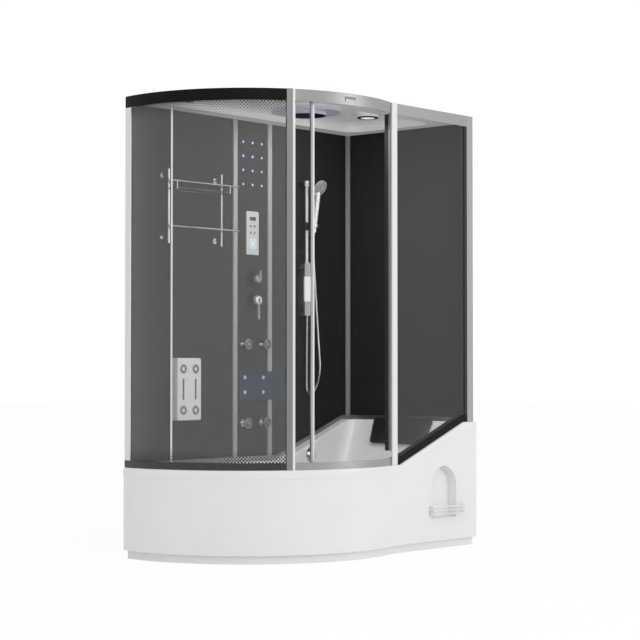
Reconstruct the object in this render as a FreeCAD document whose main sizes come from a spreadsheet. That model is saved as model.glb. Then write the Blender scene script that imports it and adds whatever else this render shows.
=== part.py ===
"""Shower cabin with a bathtub: a bowed tub with a raised backrest end, a curved sliding door,
two dressed walls, a moulded roof, body jets, taps and a hand shower.

Frame: +Z up, +X along the tub towards the backrest, -Y towards the door; the origin lies on the
floor under the middle of the box round the tub. All lengths are millimetres, angles degrees.
"""
import FreeCAD, Part
import math
import os
import re

import Sketcher

V = FreeCAD.Vector
UP, ALONG = V(0, 0, 1), V(1, 0, 0)

# Driving dimensions, one sheet cell each.
SIZES = {
    # the tub's plan and levels
    "tub_length": 1700, "tub_depth": 900, "cabin_height": 2200,
    "bow_share": 0.447059, "front_step": 43, "blend_radius": 500, "corner_radius": 18,
    "rim_low": 431, "rim_high": 628, "slope_start_gap": 22, "slope_end_gap": 113,
    # the tub shell
    "shell_wall": 6, "rim_wall": 8, "rim_round": 10, "mouth_round": 12, "lip_height": 40,
    "floor_height": 120, "floor_round": 60,
    "bowl_round": 90, "bowl_rim_inset": 70, "bowl_floor_inset": 130,
    "bowl_rim_end": 75, "bowl_floor_end": 330, "bowl_rim_back": 80, "bowl_floor_back": 130,
    # the skirt with its recessed foot and its niche
    "skirt_inset": 2, "skirt_wall": 6, "skirt_return": 34, "toe_height": 40, "toe_inset": 20,
    "toe_wall": 12, "niche_width": 207, "niche_end_gap": 287, "niche_top": 414, "niche_bottom": 150,
    "niche_depth": 42, "niche_wall": 5, "niche_taper": 10,
    # the rack in front of the niche
    "bar_radius": 3.5, "bar_pitch": 18, "bar_low": 174, "bar_span": 262, "bar_end_gap": 273,
    "bar_reach": 30, "bar_bend": 14, "peg_radius": 7, "peg_length": 5,
    # the steel frame and its feet
    "tube_size": 30, "tube_wall": 2, "frame_front_gap": 167, "frame_reach": 470, "trap_gap": 30,
    "cross_gap": 240, "frame_end_gap": 30,
    "foot_radius": 25, "foot_height": 12, "stem_radius": 6, "foot_inset": 60,
    # waste, trap and overflow
    "drain_end_gap": 450, "drain_back_gap": 300, "drain_hole": 26, "drain_flange": 36, "drain_lip": 3,
    "drain_tail": 24, "drain_drop": 26, "drain_bore": 20, "plug_radius": 27, "plug_height": 5,
    "plug_stem": 4, "plug_stem_gap": 1, "plug_guide": 4.05, "spider_rise": 8, "spider_wall": 4,
    "spider_hole": 4.5, "spider_ring": 12, "trap_radius": 30,
    "trap_floor": 26, "outlet_radius": 20, "outlet_bore": 18, "outlet_level": 50, "outlet_gap": 6,
    "collar_radius": 23, "collar_length": 10,
    "overflow_end_gap": 441, "overflow_z": 447, "overflow_radius": 37, "overflow_plate": 5,
    "overflow_neck": 20, "overflow_depth": 22, "dial_radius": 27, "dial_height": 12,
    "dial_pin": 5, "dial_bore": 5.05, "dial_grip": 6,
    # the backrest pillow
    "pillow_top_width": 404, "pillow_low_width": 367, "pillow_length": 148, "pillow_thick": 38,
    "pillow_round": 24, "pillow_rise": 4, "pillow_middle": 12,
    # the enclosure's line and its walls
    "rail_inset": 15, "end_inset": 21, "wall_face_inset": 25, "side_face_inset": 52,
    "panel_thick": 5, "wall_top_gap": 34, "sill_height": 22, "cap_proud": 8, "cap_back": 16,
    "cap_web": 12, "corner_leg": 18, "corner_wall": 6,
    # the fitting column on the back wall
    "column_x": 36, "column_width": 230, "cap_width": 29,
    # rails: height, depth from the outer face, walls and tracks
    "top_rail_height": 55, "low_rail_height": 34, "rail_depth": 41, "rail_wall": 3, "rail_web": 4,
    "glass_thick": 6, "glass_set": 5, "web_set": 13, "ledge_end": 27, "ledge_level": 16,
    "ledge_wall": 3, "inner_skirt_level": 13, "low_web_height": 21, "low_inner_height": 14,
    "glass_top_gap": 10, "slope_rail_height": 36, "slope_groove": 14, "groove_play": 0.5,
    # posts, in degrees along the bow
    "left_post_sweep_angle": 3.3, "mid_post_start_angle": -124.32, "mid_post_sweep_angle": 3.11,
    "post_proud": 7, "rib_depth": 17, "post_width": 39, "post_gap": 2.4, "seal_width": 10, "seal_depth": 10,
    "right_post_width": 50, "right_seal_width": 22,
    # the sliding door, at rest slid open to the left
    "door_start_angle": -167.85, "door_sweep_angle": 53.45, "lead_sweep_angle": 1.4,
    "trail_sweep_angle": 0.36, "door_set": 24,
    "frame_proud": 3, "trail_proud": 1.5, "door_low_gap": 21, "door_top_rise": 13,
    "hanger_inset_angle": 7.2, "hanger_width": 40, "hanger_wall": 5, "hanger_drop": 17,
    "hanger_rise": 28,
    "wheel_radius": 11, "wheel_width": 8, "wheel_gap": 1.5, "axle_radius": 3, "axle_play": 0.05,
    "guide_width": 44, "guide_depth": 16, "guide_height": 14,
    "handle_offset_angle": 2.48, "handle_width": 29, "handle_thick": 16, "handle_gap": 27,
    "handle_rise": 715, "handle_height": 244, "stud_radius": 9, "stud_inset": 26,
    "pull_width": 24, "pull_thick": 12, "pull_gap": 26, "edge_round": 5,
    # the moulded roof with its rain head and light
    "roof_wall": 5, "roof_brim": 118, "roof_rise": 28, "roof_lean": 16, "rain_back_gap": 393,
    "rain_radius": 100, "rain_drop": 30, "ring_radius": 175, "ring_drop": 16, "ring_gap": 4,
    "lamp_end_gap": 491, "lamp_front_gap": 273, "lamp_radius": 53, "lamp_drop": 22, "lamp_lens": 36,
    "lamp_recess": 4,
    # the control panel and its keys
    "panel_width": 92, "panel_height": 223, "panel_low_share": 0.5941, "panel_depth": 6,
    "panel_round": 6, "panel_edge": 1.5,
    "screen_width": 44, "screen_height": 19, "screen_level": 185, "screen_recess": 1.5,
    "key_radius": 6.5, "key_play": 0.3, "key_proud": 1, "key_depth": 3.6, "key_pitch": 29,
    "key_high": 147, "key_low": 113, "pad_size": 54, "pad_level": 56, "pad_round": 12,
    # nozzles, lumbar plate and body jets on the column
    "spray_radius": 10, "spray_depth": 5, "spray_pitch_x": 69, "spray_pitch_z": 72,
    "spray_low_share": 0.797, "plate_width": 340, "plate_height": 146, "plate_low_share": 0.1747,
    "plate_thick": 7, "plate_edge": 3,
    "plate_left": 103, "plate_round": 8, "needle_pitch_x": 137, "needle_pitch_z": 75,
    "needle_rise": 40, "needle_radius": 7, "needle_depth": 4,
    "jet_half": 71, "jet_low_share": 0.1092, "jet_high_share": 0.3353, "jet_flange": 20,
    "jet_flange_depth": 5,
    "jet_neck": 7, "jet_reach": 32, "jet_ball": 11, "jet_play": 0.3, "rose_radius": 27,
    "rose_back": 3, "rose_depth": 15, "rose_cup": 15,
    # the two valves
    "mixer_share": 0.4624, "diverter_share": 0.524, "valve_plate": 40, "valve_plate_depth": 6,
    "valve_neck": 22, "valve_reach": 26, "valve_pin": 8, "valve_pin_length": 9, "pin_play": 0.05,
    "inlet_radius": 10.4, "inlet_depth": 16, "inlet_pitch": 80,
    "cap_radius": 23, "cap_depth": 22, "cap_skin": 4, "lever_width": 13, "lever_thick": 9,
    "lever_length": 88, "lever_play": 0.4, "lever_pin": 2.5, "lever_pin_gap": 10, "fork_depth": 14,
    "knob_radius": 20, "knob_depth": 22, "fin_width": 9, "fin_height": 42, "fin_depth": 14,
    # the massage unit
    "unit_share": 0.48, "unit_width": 164, "unit_height": 305, "unit_low": 647, "unit_depth": 47,
    "unit_round": 10, "unit_edge": 6, "disc_radius": 23, "disc_groove": 4, "disc_recess": 3,
    "disc_half_x": 42, "disc_low": 50, "disc_high": 252, "slot_width": 13, "slot_length": 104,
    "slot_low": 100,
    "slot_recess": 8, "grip_width": 18, "grip_recess": 14,
    # the towel rack with its glass shelf
    "towel_left_share": 0.2594, "towel_span_share": 0.5436, "towel_bottom_share": 0.6083,
    "towel_height": 361, "towel_stand": 50,
    "rod_radius": 6, "rail_radius": 4.5, "rail_over": 62, "tie_radius": 3.5, "rest_width": 9,
    "gallery_rise": 300, "shelf_rise": 265,
    "shelf_thick": 6, "shelf_depth": 110, "shelf_play": 0.3, "towel_rise": 80, "towel_reach": 62,
    "rose_flange": 14, "rose_flange_depth": 5, "arm_radius": 5, "arm_inset": 30, "gallery_post": 3,
    # slide bar, outlet, hand shower and hose
    "bar_side_gap": 394, "slide_radius": 9, "slide_below": 248, "slide_above": 239, "slide_reach": 50,
    "bracket_radius": 13, "bracket_height": 30, "slider_share": 0.68796, "slider_height": 42,
    "slider_radius": 19, "slider_play": 0.08, "socket_reach": 56, "socket_radius": 17,
    "socket_height": 30, "neck_width": 16, "neck_height": 20,
    "fork_play": 0.3, "pivot_radius": 4, "pivot_play": 0.05,
    "shower_lean_angle": 8, "nut_radius": 10.5, "nut_height": 18, "grip_radius": 11.8, "grip_top": 14,
    "grip_length": 176, "head_radius": 44, "head_thick": 24, "head_dip_angle": 120, "head_rise": 196,
    "face_recess": 2, "face_radius": 36,
    "outlet_offset": 24, "outlet_below": 303, "outlet_reach": 34, "outlet_flange": 24, "outlet_plate": 5,
    "outlet_body": 12, "nipple_radius": 8, "nipple_length": 25, "hose_radius": 6,
    # shared allowances
    "overrun": 10, "seat_gap": 0.2,
}

# Shares of the pillow's outline at rising heights through its thickness.
PILLOW_HEIGHT_SHARES = (0, 0.3, 0.72, 1)
PILLOW_OUTLINE_SHARES = (0.95, 1, 0.95, 0.74)

# Sizes that follow from the sheet, in the sheet's own words.
FORMULAS = {
    "right": "tub_length / 2", "rear": "tub_depth / 2", "bow_radius": "bow_share * tub_length",
    "bow_x": "bow_radius - right", "bow_y": "bow_radius - rear", "flat_y": "front_step - rear",
    "slope_end": "right - slope_end_gap", "slope_start": "post_right + slope_start_gap",
    "rail_r": "bow_radius - rail_inset", "rail_in": "rail_r - rail_depth",
    "rail_y": "flat_y + rail_inset", "rail_in_y": "rail_y + rail_depth",
    "post_end": "right - end_inset", "wall_y": "rear - wall_face_inset",
    "side_x": "right - side_face_inset", "wall_top": "cabin_height - wall_top_gap",
    "wall_left": "bow_x - sqrt(rail_in ^ 2 - (rear - bow_y) ^ 2) + seat_gap",
    "top_low": "cabin_height - top_rail_height", "low_top": "rim_low + low_rail_height",
    "left_start": "-180 deg - asin((rear - bow_y) / rail_r)",
    "mid_joint": "(mid_post_start_angle + mid_post_sweep_angle / 2) * 1 deg",
    "bow_end": "-acos(sqrt(rail_r ^ 2 - (bow_y - rail_y) ^ 2) / rail_r)",
    "bow_end_x": "bow_x + sqrt(rail_r ^ 2 - (bow_y - rail_y) ^ 2)",
    "post_left": "bow_end_x - post_gap", "post_right": "post_left + post_width",
    "end_post_left": "post_end - right_post_width",
    "end_seal_left": "end_post_left - right_seal_width",
    "cap_left": "column_x - column_width / 2 - cap_width / 2",
    "cap_right": "column_x + column_width / 2 + cap_width / 2",
    "door_r": "rail_r - door_set", "door_in": "door_r - glass_thick",
    "door_low": "rim_low + door_low_gap", "door_top": "top_low + door_top_rise",
    "ledge_top": "top_low + ledge_level + ledge_wall",
    "wheel_z": "ledge_top + wheel_radius + seat_gap",
    "wheel_out": "rail_r - web_set - rail_wall - wheel_gap",
    "ceiling": "wall_top + roof_rise", "bowl_fall": "rim_high - floor_height",
    "overflow_share": "(rim_high - overflow_z) / bowl_fall",
    "overflow_y": "rear - bowl_rim_back - (bowl_floor_back - bowl_rim_back) * overflow_share",
    "overflow_tilt": "atan((bowl_floor_back - bowl_rim_back) / bowl_fall)",
    "floor_under": "floor_height - shell_wall", "frame_low": "floor_under - tube_size",
    "drain_low": "floor_under - drain_drop",
    "front_y": "wall_y - panel_depth", "valve_front": "valve_plate_depth + valve_reach",
    "slide_y": "wall_y - slide_reach", "socket_y": "slide_y - socket_reach",
    "gallery_y": "wall_y - shelf_depth", "wall_height": "cabin_height - rim_low",
    "spray_low": "rim_low + spray_low_share * wall_height",
    "panel_low": "rim_low + panel_low_share * wall_height",
    "mixer_z": "rim_low + mixer_share * wall_height",
    "diverter_z": "rim_low + diverter_share * wall_height",
    "jet_low": "rim_low + jet_low_share * wall_height",
    "jet_high": "rim_low + jet_high_share * wall_height",
    "plate_low": "rim_low + plate_low_share * wall_height", "needle_low": "plate_low + needle_rise",
    "drain_x": "right - drain_end_gap", "drain_y": "rear - drain_back_gap",
    "overflow_x": "right - overflow_end_gap", "rain_y": "rear - rain_back_gap",
    "lamp_x": "right - lamp_end_gap", "lamp_y": "rail_in_y + lamp_front_gap",
    "left_width": "cap_left - cap_width / 2 - wall_left", "unit_x": "wall_left + unit_share * left_width",
    "towel_left": "wall_left + towel_left_share * left_width", "towel_span": "towel_span_share * left_width",
    "towel_bottom": "rim_low + towel_bottom_share * wall_height", "towel_top": "towel_bottom + towel_height",
    "gallery_z": "towel_bottom + gallery_rise", "shelf_z": "towel_bottom + shelf_rise",
    "towel_z": "towel_bottom + towel_rise",
    "bar_x": "side_x - bar_side_gap", "slider_z": "rim_low + slider_share * wall_height",
    "slide_low": "slider_z - slide_below", "slide_high": "slider_z + slide_above",
    "outlet_x": "bar_x + outlet_offset", "outlet_z": "slider_z - outlet_below",
    "handle_bottom": "rim_low + handle_rise", "spider_low": "drain_low + spider_rise",
    "seat_z": "floor_height + drain_lip",
}

doc = FreeCAD.newDocument("shower_cabin")
sheet = doc.addObject("Spreadsheet::Sheet", "dims")
for row, (alias, size) in enumerate(SIZES.items(), 1):
    sheet.set(f"A{row}", alias)
    sheet.set(f"B{row}", str(size))
    sheet.setAlias(f"B{row}", alias)
doc.recompute()
nodes = []


def expand(text):
    """Write a formula in the sheet's terms."""
    def swap(match):
        word = match.group(0)
        if word in FORMULAS:
            return "(" + expand(FORMULAS[word]) + ")"
        return "dims." + word if word in SIZES else word
    return re.sub(r"[A-Za-z_]\w*", swap, text)


def val(text):
    """Work out a formula as a number."""
    result = sheet.evalExpression(expand(text))
    return float(getattr(result, "Value", result))


def node(obj, label):
    """Keep an object as a sub-part under its own label."""
    obj.Label = label
    nodes.append(obj)
    return obj


def at(obj, x="0", y="0", z="0", turn=None, axis=UP):
    """Place an object by formulas, turned about one axis."""
    angle = val(turn) if turn else 0
    obj.Placement = FreeCAD.Placement(V(val(x), val(y), val(z)), FreeCAD.Rotation(axis, angle))
    for name, text in zip("xyz", (x, y, z)):
        obj.setExpression("Placement.Base." + name, expand(text))
    if turn:
        obj.setExpression("Placement.Rotation.Angle", expand(turn))
    return obj


def on_bow(obj, turn):
    """Place an object on the bow's axis, turned to an angle."""
    return at(obj, "bow_x", "bow_y", "0", turn)


def solid(kind, name, **sizes):
    """Add a Part primitive with its sizes bound to formulas."""
    obj = doc.addObject("Part::" + kind, name)
    for prop, text in sizes.items():
        obj.setExpression(prop, expand(text))
    return obj


def box(name, length, width, height, x="0", y="0", z="0"):
    """Add a box from its lower corner."""
    return at(solid("Box", name, Length=length, Width=width, Height=height), x, y, z)


def rod(name, radius, length, x="0", y="0", z="0", along="z"):
    """Add a cylinder that runs up, along the tub or out from the back wall."""
    turn, axis = {"z": (0, UP), "x": (90, V(0, 1, 0)), "out": (90, ALONG)}[along]
    obj = at(solid("Cylinder", name, Radius=radius, Height=length), x, y, z)
    obj.Placement.Rotation = FreeCAD.Rotation(axis, turn)
    return obj


def fuse(name, parts):
    """Join solids into one."""
    obj = doc.addObject("Part::MultiFuse", name)
    obj.Shapes, obj.Refine = parts, True
    return obj


def cut(name, base, tools):
    """Take tools away from a base."""
    tool = tools[0] if len(tools) == 1 else fuse(name + "_tools", tools)
    obj = doc.addObject("Part::Cut", name)
    obj.Base, obj.Tool, obj.Refine = base, tool, True
    return obj


def group(name, parts):
    """Keep several solids as one sub-part."""
    obj = doc.addObject("Part::Compound", name)
    obj.Links = parts
    return obj


def feature(name, shape):
    """Keep a shape made with lofts, sweeps or offsets."""
    obj = doc.addObject("Part::Feature", name)
    obj.Shape = shape
    return obj


def origin(body, role):
    """Find an origin plane or axis of a body."""
    return next(f for f in body.Origin.OriginFeatures if f.Role == role)


def arc_between(here, there, radius, turn):
    """Arc from one point to another that bends left (+1) or right (-1)."""
    chord = there - here
    rise = math.sqrt(max(radius ** 2 - (chord.Length / 2) ** 2, 0))
    centre = (here + there) / 2 + V(-chord.y, chord.x, 0).normalize() * (rise * turn)
    first, last = (here, there) if turn > 0 else (there, here)
    angles = [math.atan2(p.y - centre.y, p.x - centre.x) for p in (first, last)]
    if angles[1] < angles[0]:
        angles[1] += 2 * math.pi
    return Part.ArcOfCircle(Part.Circle(centre, UP, radius), *angles)


def bind(sketch, name, text, *constraint):
    """Add a named constraint that follows a formula."""
    index = sketch.addConstraint(Sketcher.Constraint(*constraint, val(text)))
    sketch.renameConstraint(index, name)
    sketch.setExpression("Constraints." + name, expand(text))


def draw(sketch, corners):
    """Draw a closed outline through corners given as formulas (across, up).

    A corner with a radius and a turn starts an arc to the next corner, left (+1) or right (-1).
    Three items, (across, up, radius), on their own make a circle.
    """
    first = sketch.GeometryCount
    if len(corners) == 1:
        across, up, radius = corners[0]
        sketch.addGeometry(Part.Circle(V(val(across), val(up), 0), UP, val(radius)), False)
        bind(sketch, f"across{first}", across, "DistanceX", -1, 1, first, 3)
        bind(sketch, f"up{first}", up, "DistanceY", -1, 1, first, 3)
        bind(sketch, f"radius{first}", radius, "Radius", first)
        return
    spots = [V(val(c[0]), val(c[1]), 0) for c in corners]
    ends = []
    for i, corner in enumerate(corners):
        here, there = spots[i], spots[(i + 1) % len(spots)]
        if len(corner) == 2:
            sketch.addGeometry(Part.LineSegment(here, there), False)
            ends.append((1, 2))
        else:
            sketch.addGeometry(arc_between(here, there, val(corner[2]), corner[3]), False)
            ends.append((1, 2) if corner[3] > 0 else (2, 1))
    for i in range(len(corners)):
        j = (i + 1) % len(corners)
        sketch.addConstraint(
            Sketcher.Constraint("Coincident", first + i, ends[i][1], first + j, ends[j][0]))
    for i, corner in enumerate(corners):
        edge = first + i
        bind(sketch, f"across{edge}", corner[0], "DistanceX", -1, 1, edge, ends[i][0])
        bind(sketch, f"up{edge}", corner[1], "DistanceY", -1, 1, edge, ends[i][0])
        if len(corner) > 2:
            bind(sketch, f"bend{edge}", corner[2], "Radius", edge)


def sketch_in(body, plane, outlines):
    """Add a sketch with its outlines on one of a body's origin planes."""
    sketch = body.newObject("Sketcher::SketchObject", body.Name + "_sketch")
    sketch.AttachmentSupport = (origin(body, plane), [""])
    sketch.MapMode = "FlatFace"
    for outline in outlines:
        draw(sketch, outline)
    return sketch


def block(low_x, low_y, high_x, high_y):
    """Outline of a rectangle."""
    return [(low_x, low_y), (high_x, low_y), (high_x, high_y), (low_x, high_y)]


def soft_block(low_x, low_y, high_x, high_y, radius):
    """Outline of a rectangle with round corners."""
    near_x, far_x = f"({low_x}) + ({radius})", f"({high_x}) - ({radius})"
    near_y, far_y = f"({low_y}) + ({radius})", f"({high_y}) - ({radius})"
    return [(near_x, low_y), (far_x, low_y, radius, 1), (high_x, near_y), (high_x, far_y, radius, 1),
            (far_x, high_y), (near_x, high_y, radius, 1), (low_x, far_y), (low_x, near_y, radius, 1)]


def pad(name, plane, outlines, length):
    """Body padded from a sketch: up from XY, out from the wall from XZ, along the tub from YZ."""
    body = doc.addObject("PartDesign::Body", name)
    sketch = sketch_in(body, plane, outlines)
    made = body.newObject("PartDesign::Pad", name + "_pad")
    made.Profile = sketch
    made.setExpression("Length", expand(length))
    return body


def pocket(body, plane, outlines, depth, lift):
    """Cut a pocket down from a lifted plane into a body."""
    sketch = sketch_in(body, plane, outlines)
    sketch.setExpression("AttachmentOffset.Base.z", expand(lift))
    made = body.newObject("PartDesign::Pocket", body.Name + "_pocket")
    made.Profile = sketch
    made.setExpression("Length", expand(depth))
    return body


def turned(name, outline, plane="XZ_Plane", axis="V_Axis"):
    """Body turned about a sketch axis: V is upright, H runs along X (XZ) or Y (YZ)."""
    body = doc.addObject("PartDesign::Body", name)
    sketch = sketch_in(body, plane, [outline])
    made = body.newObject("PartDesign::Revolution", name + "_turn")
    made.Profile = sketch
    made.ReferenceAxis = (sketch, [axis])
    made.Angle = 360
    return body


def swept(name, outline, start, sweep):
    """Section in (radius, height) swept about the bow's axis."""
    body = doc.addObject("PartDesign::Body", name)
    sketch = sketch_in(body, "XZ_Plane", [outline])
    made = body.newObject("PartDesign::Revolution", name + "_sweep")
    made.Profile = sketch
    made.ReferenceAxis = (origin(body, "Z_Axis"), [""])
    made.setExpression("Angle", expand(sweep))
    return on_bow(body, start)


def rounded(body, radius, depth):
    """Round the edges of a body's front face, which lies a depth out from its wall plane."""
    doc.recompute()
    base, front = body.Tip, -val(depth)
    names = [f"Edge{i}" for i, edge in enumerate(base.Shape.Edges, 1)
             if all(abs(p.Point.y - front) < val("seat_gap") / 2 for p in edge.Vertexes)]
    made = body.newObject("PartDesign::Fillet", body.Name + "_round")
    made.Base = (base, names)
    made.setExpression("Radius", expand(radius))
    return body


def plan(inset, end, back, level):
    """Outline of the tub from above, drawn in from the skirt, the right end and the back."""
    centre = V(val("bow_x"), val("bow_y"), level)
    radius, bend = val("bow_radius") - inset, val("blend_radius") + inset
    reach = val("bow_radius + blend_radius")
    drop = val("bow_y - flat_y + blend_radius")
    hub = centre + V(math.sqrt(reach ** 2 - drop ** 2), -drop, 0)
    meet = centre + (hub - centre).normalize() * radius
    right, rear = val("right") - end, val("rear") - back
    line = val("flat_y") + inset
    left = V(centre.x - math.sqrt(radius ** 2 - (rear - centre.y) ** 2), rear, level)
    foot, corner, top = V(hub.x, line, level), V(right, line, level), V(right, rear, level)
    if right < meet.x:
        meet = V(right, centre.y - math.sqrt(radius ** 2 - (right - centre.x) ** 2), level)
    angles = [math.atan2(p.y - centre.y, p.x - centre.x) % (2 * math.pi) for p in (left, meet)]
    middle = sum(angles) / 2
    bow_mid = centre + V(math.cos(middle), math.sin(middle), 0) * radius
    edges = [Part.Arc(left, bow_mid, meet).toShape()]
    last = meet
    if right > meet.x:
        if right < foot.x:
            foot = V(right, hub.y + math.sqrt(bend ** 2 - (right - hub.x) ** 2), level)
        blend_mid = hub + ((meet - hub).normalize() + (foot - hub).normalize()).normalize() * bend
        edges.append(Part.Arc(meet, blend_mid, foot).toShape())
        last = foot
    if right > foot.x:
        edges.append(Part.makeLine(foot, corner))
        last = corner
    return Part.Wire(edges + [Part.makeLine(last, top), Part.makeLine(top, left)])


def soft_plan(inset, end, back, corner, level):
    """The same outline with its outward corners rounded."""
    return plan(inset + corner, end + corner, back + corner, level).makeOffset2D(corner)


def prism(wire, height):
    """Extrude a flat outline upwards."""
    return Part.Face(wire).extrude(UP * height)


def below_rim(drop):
    """Everything below the rim's line, moved down by a drop."""
    over = val("overrun")
    left, right = val("-right") - over, val("right") + over
    low, high = val("rim_low") - drop, val("rim_high") - drop
    line = [(left, -over), (right, -over), (right, high), (val("slope_end"), high),
            (val("slope_start"), low), (left, low)]
    front = val("-rear") - over
    points = [V(x, front, z) for x, z in line]
    face = Part.Face(Part.makePolygon(points + points[:1]))
    return face.extrude(V(0, val("tub_depth") + 2 * over, 0))


def bowl(grow):
    """The bowl's space, grown outwards by a wall."""
    corner = val("bowl_round")
    wires = []
    for name, level in (("floor", val("floor_height") - grow), ("rim", val("rim_high"))):
        inset, end, back = (val(f"bowl_{name}_{side}") - grow for side in ("inset", "end", "back"))
        wires.append(soft_plan(inset, end, back, corner, level))
    space = Part.makeLoft(wires, True, True)
    low = [e for e in space.Edges if e.BoundBox.ZMax < val("floor_height") - grow + val("seat_gap")]
    return space.makeFillet(val("floor_round") + grow, low)


def lies_on(edge, shape):
    """Tell whether an edge lies on a shape's surface."""
    first, last = edge.FirstParameter, edge.LastParameter
    near = val("seat_gap") / 2
    spots = [edge.valueAt(first + (last - first) * share) for share in (0.1, 0.5, 0.9)]
    return all(min(face.distToShape(Part.Vertex(spot))[0] for face in shape.Faces) < near
               for spot in spots)


def build_tub():
    """Tub shell: round rim that follows the slope, turned-down lip and drafted bowl."""
    wall, corner = val("shell_wall"), val("corner_radius")
    whole = prism(soft_plan(0, 0, 0, corner, 0), val("rim_high"))
    inside = prism(soft_plan(wall, wall, wall, corner - wall, 0), val("rim_high"))
    under, space = below_rim(0), bowl(0)
    outer = Part.Shell([face for face in whole.Faces if abs(face.normalAt(0, 0).z) < 0.5])
    rim = whole.common(under).removeSplitter()
    low = val("rim_low - rim_round")
    rim = rim.makeFillet(val("rim_round"), [edge for edge in rim.Edges if edge.BoundBox.ZMin > low
                                            and lies_on(edge, outer) and lies_on(edge, under)])
    rim = rim.cut(below_rim(val("lip_height"))).cut(inside.common(below_rim(val("rim_wall"))))
    shell = rim.fuse(bowl(wall).common(under)).cut(space).removeSplitter()
    mouth = [edge for edge in shell.Edges if lies_on(edge, space) and lies_on(edge, under)]
    shell = shell.makeFillet(val("mouth_round"), mouth)
    drain = Part.makeCylinder(val("drain_hole"), val("shell_wall") * 2, V(
        val("drain_x"), val("drain_y"), val("floor_height - 2 * shell_wall + seat_gap")))
    tilt = math.radians(val("overflow_tilt"))
    out = V(0, -math.cos(tilt), math.sin(tilt))
    spot = V(val("overflow_x"), val("overflow_y"), val("overflow_z")) - out * val("overflow_depth")
    spill = Part.makeCylinder(val("overflow_neck + seat_gap"), val("overflow_depth * 2"), spot, out)
    shell = shell.cut([drain, spill]).removeSplitter()
    node(feature("tub_shape", shell.Solids[0]), "tub_shell")


def build_skirt():
    """Front panel: bowed wall, recessed foot and moulded niche in one piece."""
    inset, wall, corner = val("skirt_inset"), val("skirt_wall"), val("corner_radius")
    toe, toe_wall, toe_high = val("toe_inset"), val("toe_wall"), val("toe_height")

    def ring(near, far, low, high):
        """Wall between two outlines."""
        outer = prism(soft_plan(near, near, near, max(corner - near, wall), low), high - low)
        return outer.cut(prism(soft_plan(far, far, far, wall, low), high - low))
    top = val("rim_high")
    skin = ring(inset, inset + wall, toe_high, top).common(below_rim(val("lip_height")))
    step = ring(inset, toe + toe_wall, toe_high, toe_high + wall)
    foot = ring(toe, toe + toe_wall, 0, toe_high)
    keep, over = val("skirt_return"), val("overrun")
    depth, height = val("tub_depth"), top + 2 * over
    back = Part.makeBox(val("tub_length"), depth, height, V(val("bow_x"), val("flat_y") + keep, -over))
    behind = val("rear") - toe - toe_wall - over
    bow_end = val("bow_x - bow_radius") + toe + toe_wall + over
    back = back.fuse(Part.makeBox(val("tub_length"), depth, height, V(bow_end, behind, -over)))
    panel = skin.fuse([step, foot]).cut(back)

    def arch(grow, front, depth):
        """Arched niche with a tapered back."""
        wires = []
        for shrink, y in ((0, front), (val("niche_taper"), front + depth)):
            half = val("niche_width / 2") + grow - shrink
            middle, base = val("right - niche_end_gap"), val("niche_bottom") - grow + shrink
            spring = val("niche_top - niche_width / 2")
            a, b, c = V(middle - half, y, base), V(middle + half, y, base), V(middle + half, y, spring)
            crown, d = V(middle, y, spring + half), V(middle - half, y, spring)
            wires.append(Part.Wire([Part.makeLine(a, b), Part.makeLine(b, c),
                                    Part.Arc(c, crown, d).toShape(), Part.makeLine(d, a)]))
        return Part.makeLoft(wires, True, True)
    face = val("flat_y") + inset
    cup = val("niche_wall")
    shell = arch(cup, face + cup / 2, val("niche_depth") + cup / 2)
    panel = panel.fuse(shell).cut(arch(0, face - over, val("niche_depth") + over))
    node(feature("skirt_shape", panel.removeSplitter().Solids[0]), "skirt_panel")

    bars = []
    for i in range(3):
        level = f"bar_low + {i} * bar_pitch"
        body = doc.addObject("PartDesign::Body", f"bar_{i}")
        half, reach = "bar_span / 2", "-bar_reach"
        path = body.newObject("Sketcher::SketchObject", f"bar_path_{i}")
        path.AttachmentSupport, path.MapMode = (origin(body, "XY_Plane"), [""]), "FlatFace"
        draw_path(path, [(f"-{half}", "0"), (f"-{half}", "bar_bend - bar_reach", "bar_bend", 1),
                         (f"bar_bend - {half}", reach), (f"{half} - bar_bend", reach, "bar_bend", 1),
                         (half, "bar_bend - bar_reach"), (half, "0")])
        ring_sketch = sketch_in(body, "XZ_Plane", [[(f"-{half}", "0", "bar_radius")]])
        pipe = body.newObject("PartDesign::AdditivePipe", f"bar_pipe_{i}")
        pipe.Profile, pipe.Spine = ring_sketch, (path, [f"Edge{k}" for k in range(1, 6)])
        at(body, "right - bar_end_gap", "flat_y + skirt_inset", level)
        pegs = [rod(f"peg_{i}_{side}", "peg_radius", "peg_length", f"right - bar_end_gap {side} bar_span / 2",
                    "flat_y + skirt_inset", level, "out") for side in "-+"]
        bars.append(fuse(f"bar_whole_{i}", [body] + pegs))
    node(group("rack_bars", bars), "niche_rack")


def draw_path(sketch, corners):
    """Draw an open path through corners, with arcs as in an outline."""
    spots = [V(val(c[0]), val(c[1]), 0) for c in corners]
    ends = []
    for i, corner in enumerate(corners[:-1]):
        if len(corner) == 2:
            sketch.addGeometry(Part.LineSegment(spots[i], spots[i + 1]), False)
            ends.append((1, 2))
        else:
            sketch.addGeometry(arc_between(spots[i], spots[i + 1], val(corner[2]), corner[3]), False)
            ends.append((1, 2) if corner[3] > 0 else (2, 1))
    last = len(ends) - 1
    for i in range(last):
        sketch.addConstraint(Sketcher.Constraint("Coincident", i, ends[i][1], i + 1, ends[i + 1][0]))
    for i, corner in enumerate(corners):
        edge, end = (i, ends[i][0]) if i <= last else (last, ends[last][1])
        bind(sketch, f"across{i}", corner[0], "DistanceX", -1, 1, edge, end)
        bind(sketch, f"up{i}", corner[1], "DistanceY", -1, 1, edge, end)
        if len(corner) > 2:
            bind(sketch, f"bend{i}", corner[2], "Radius", i)


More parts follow.
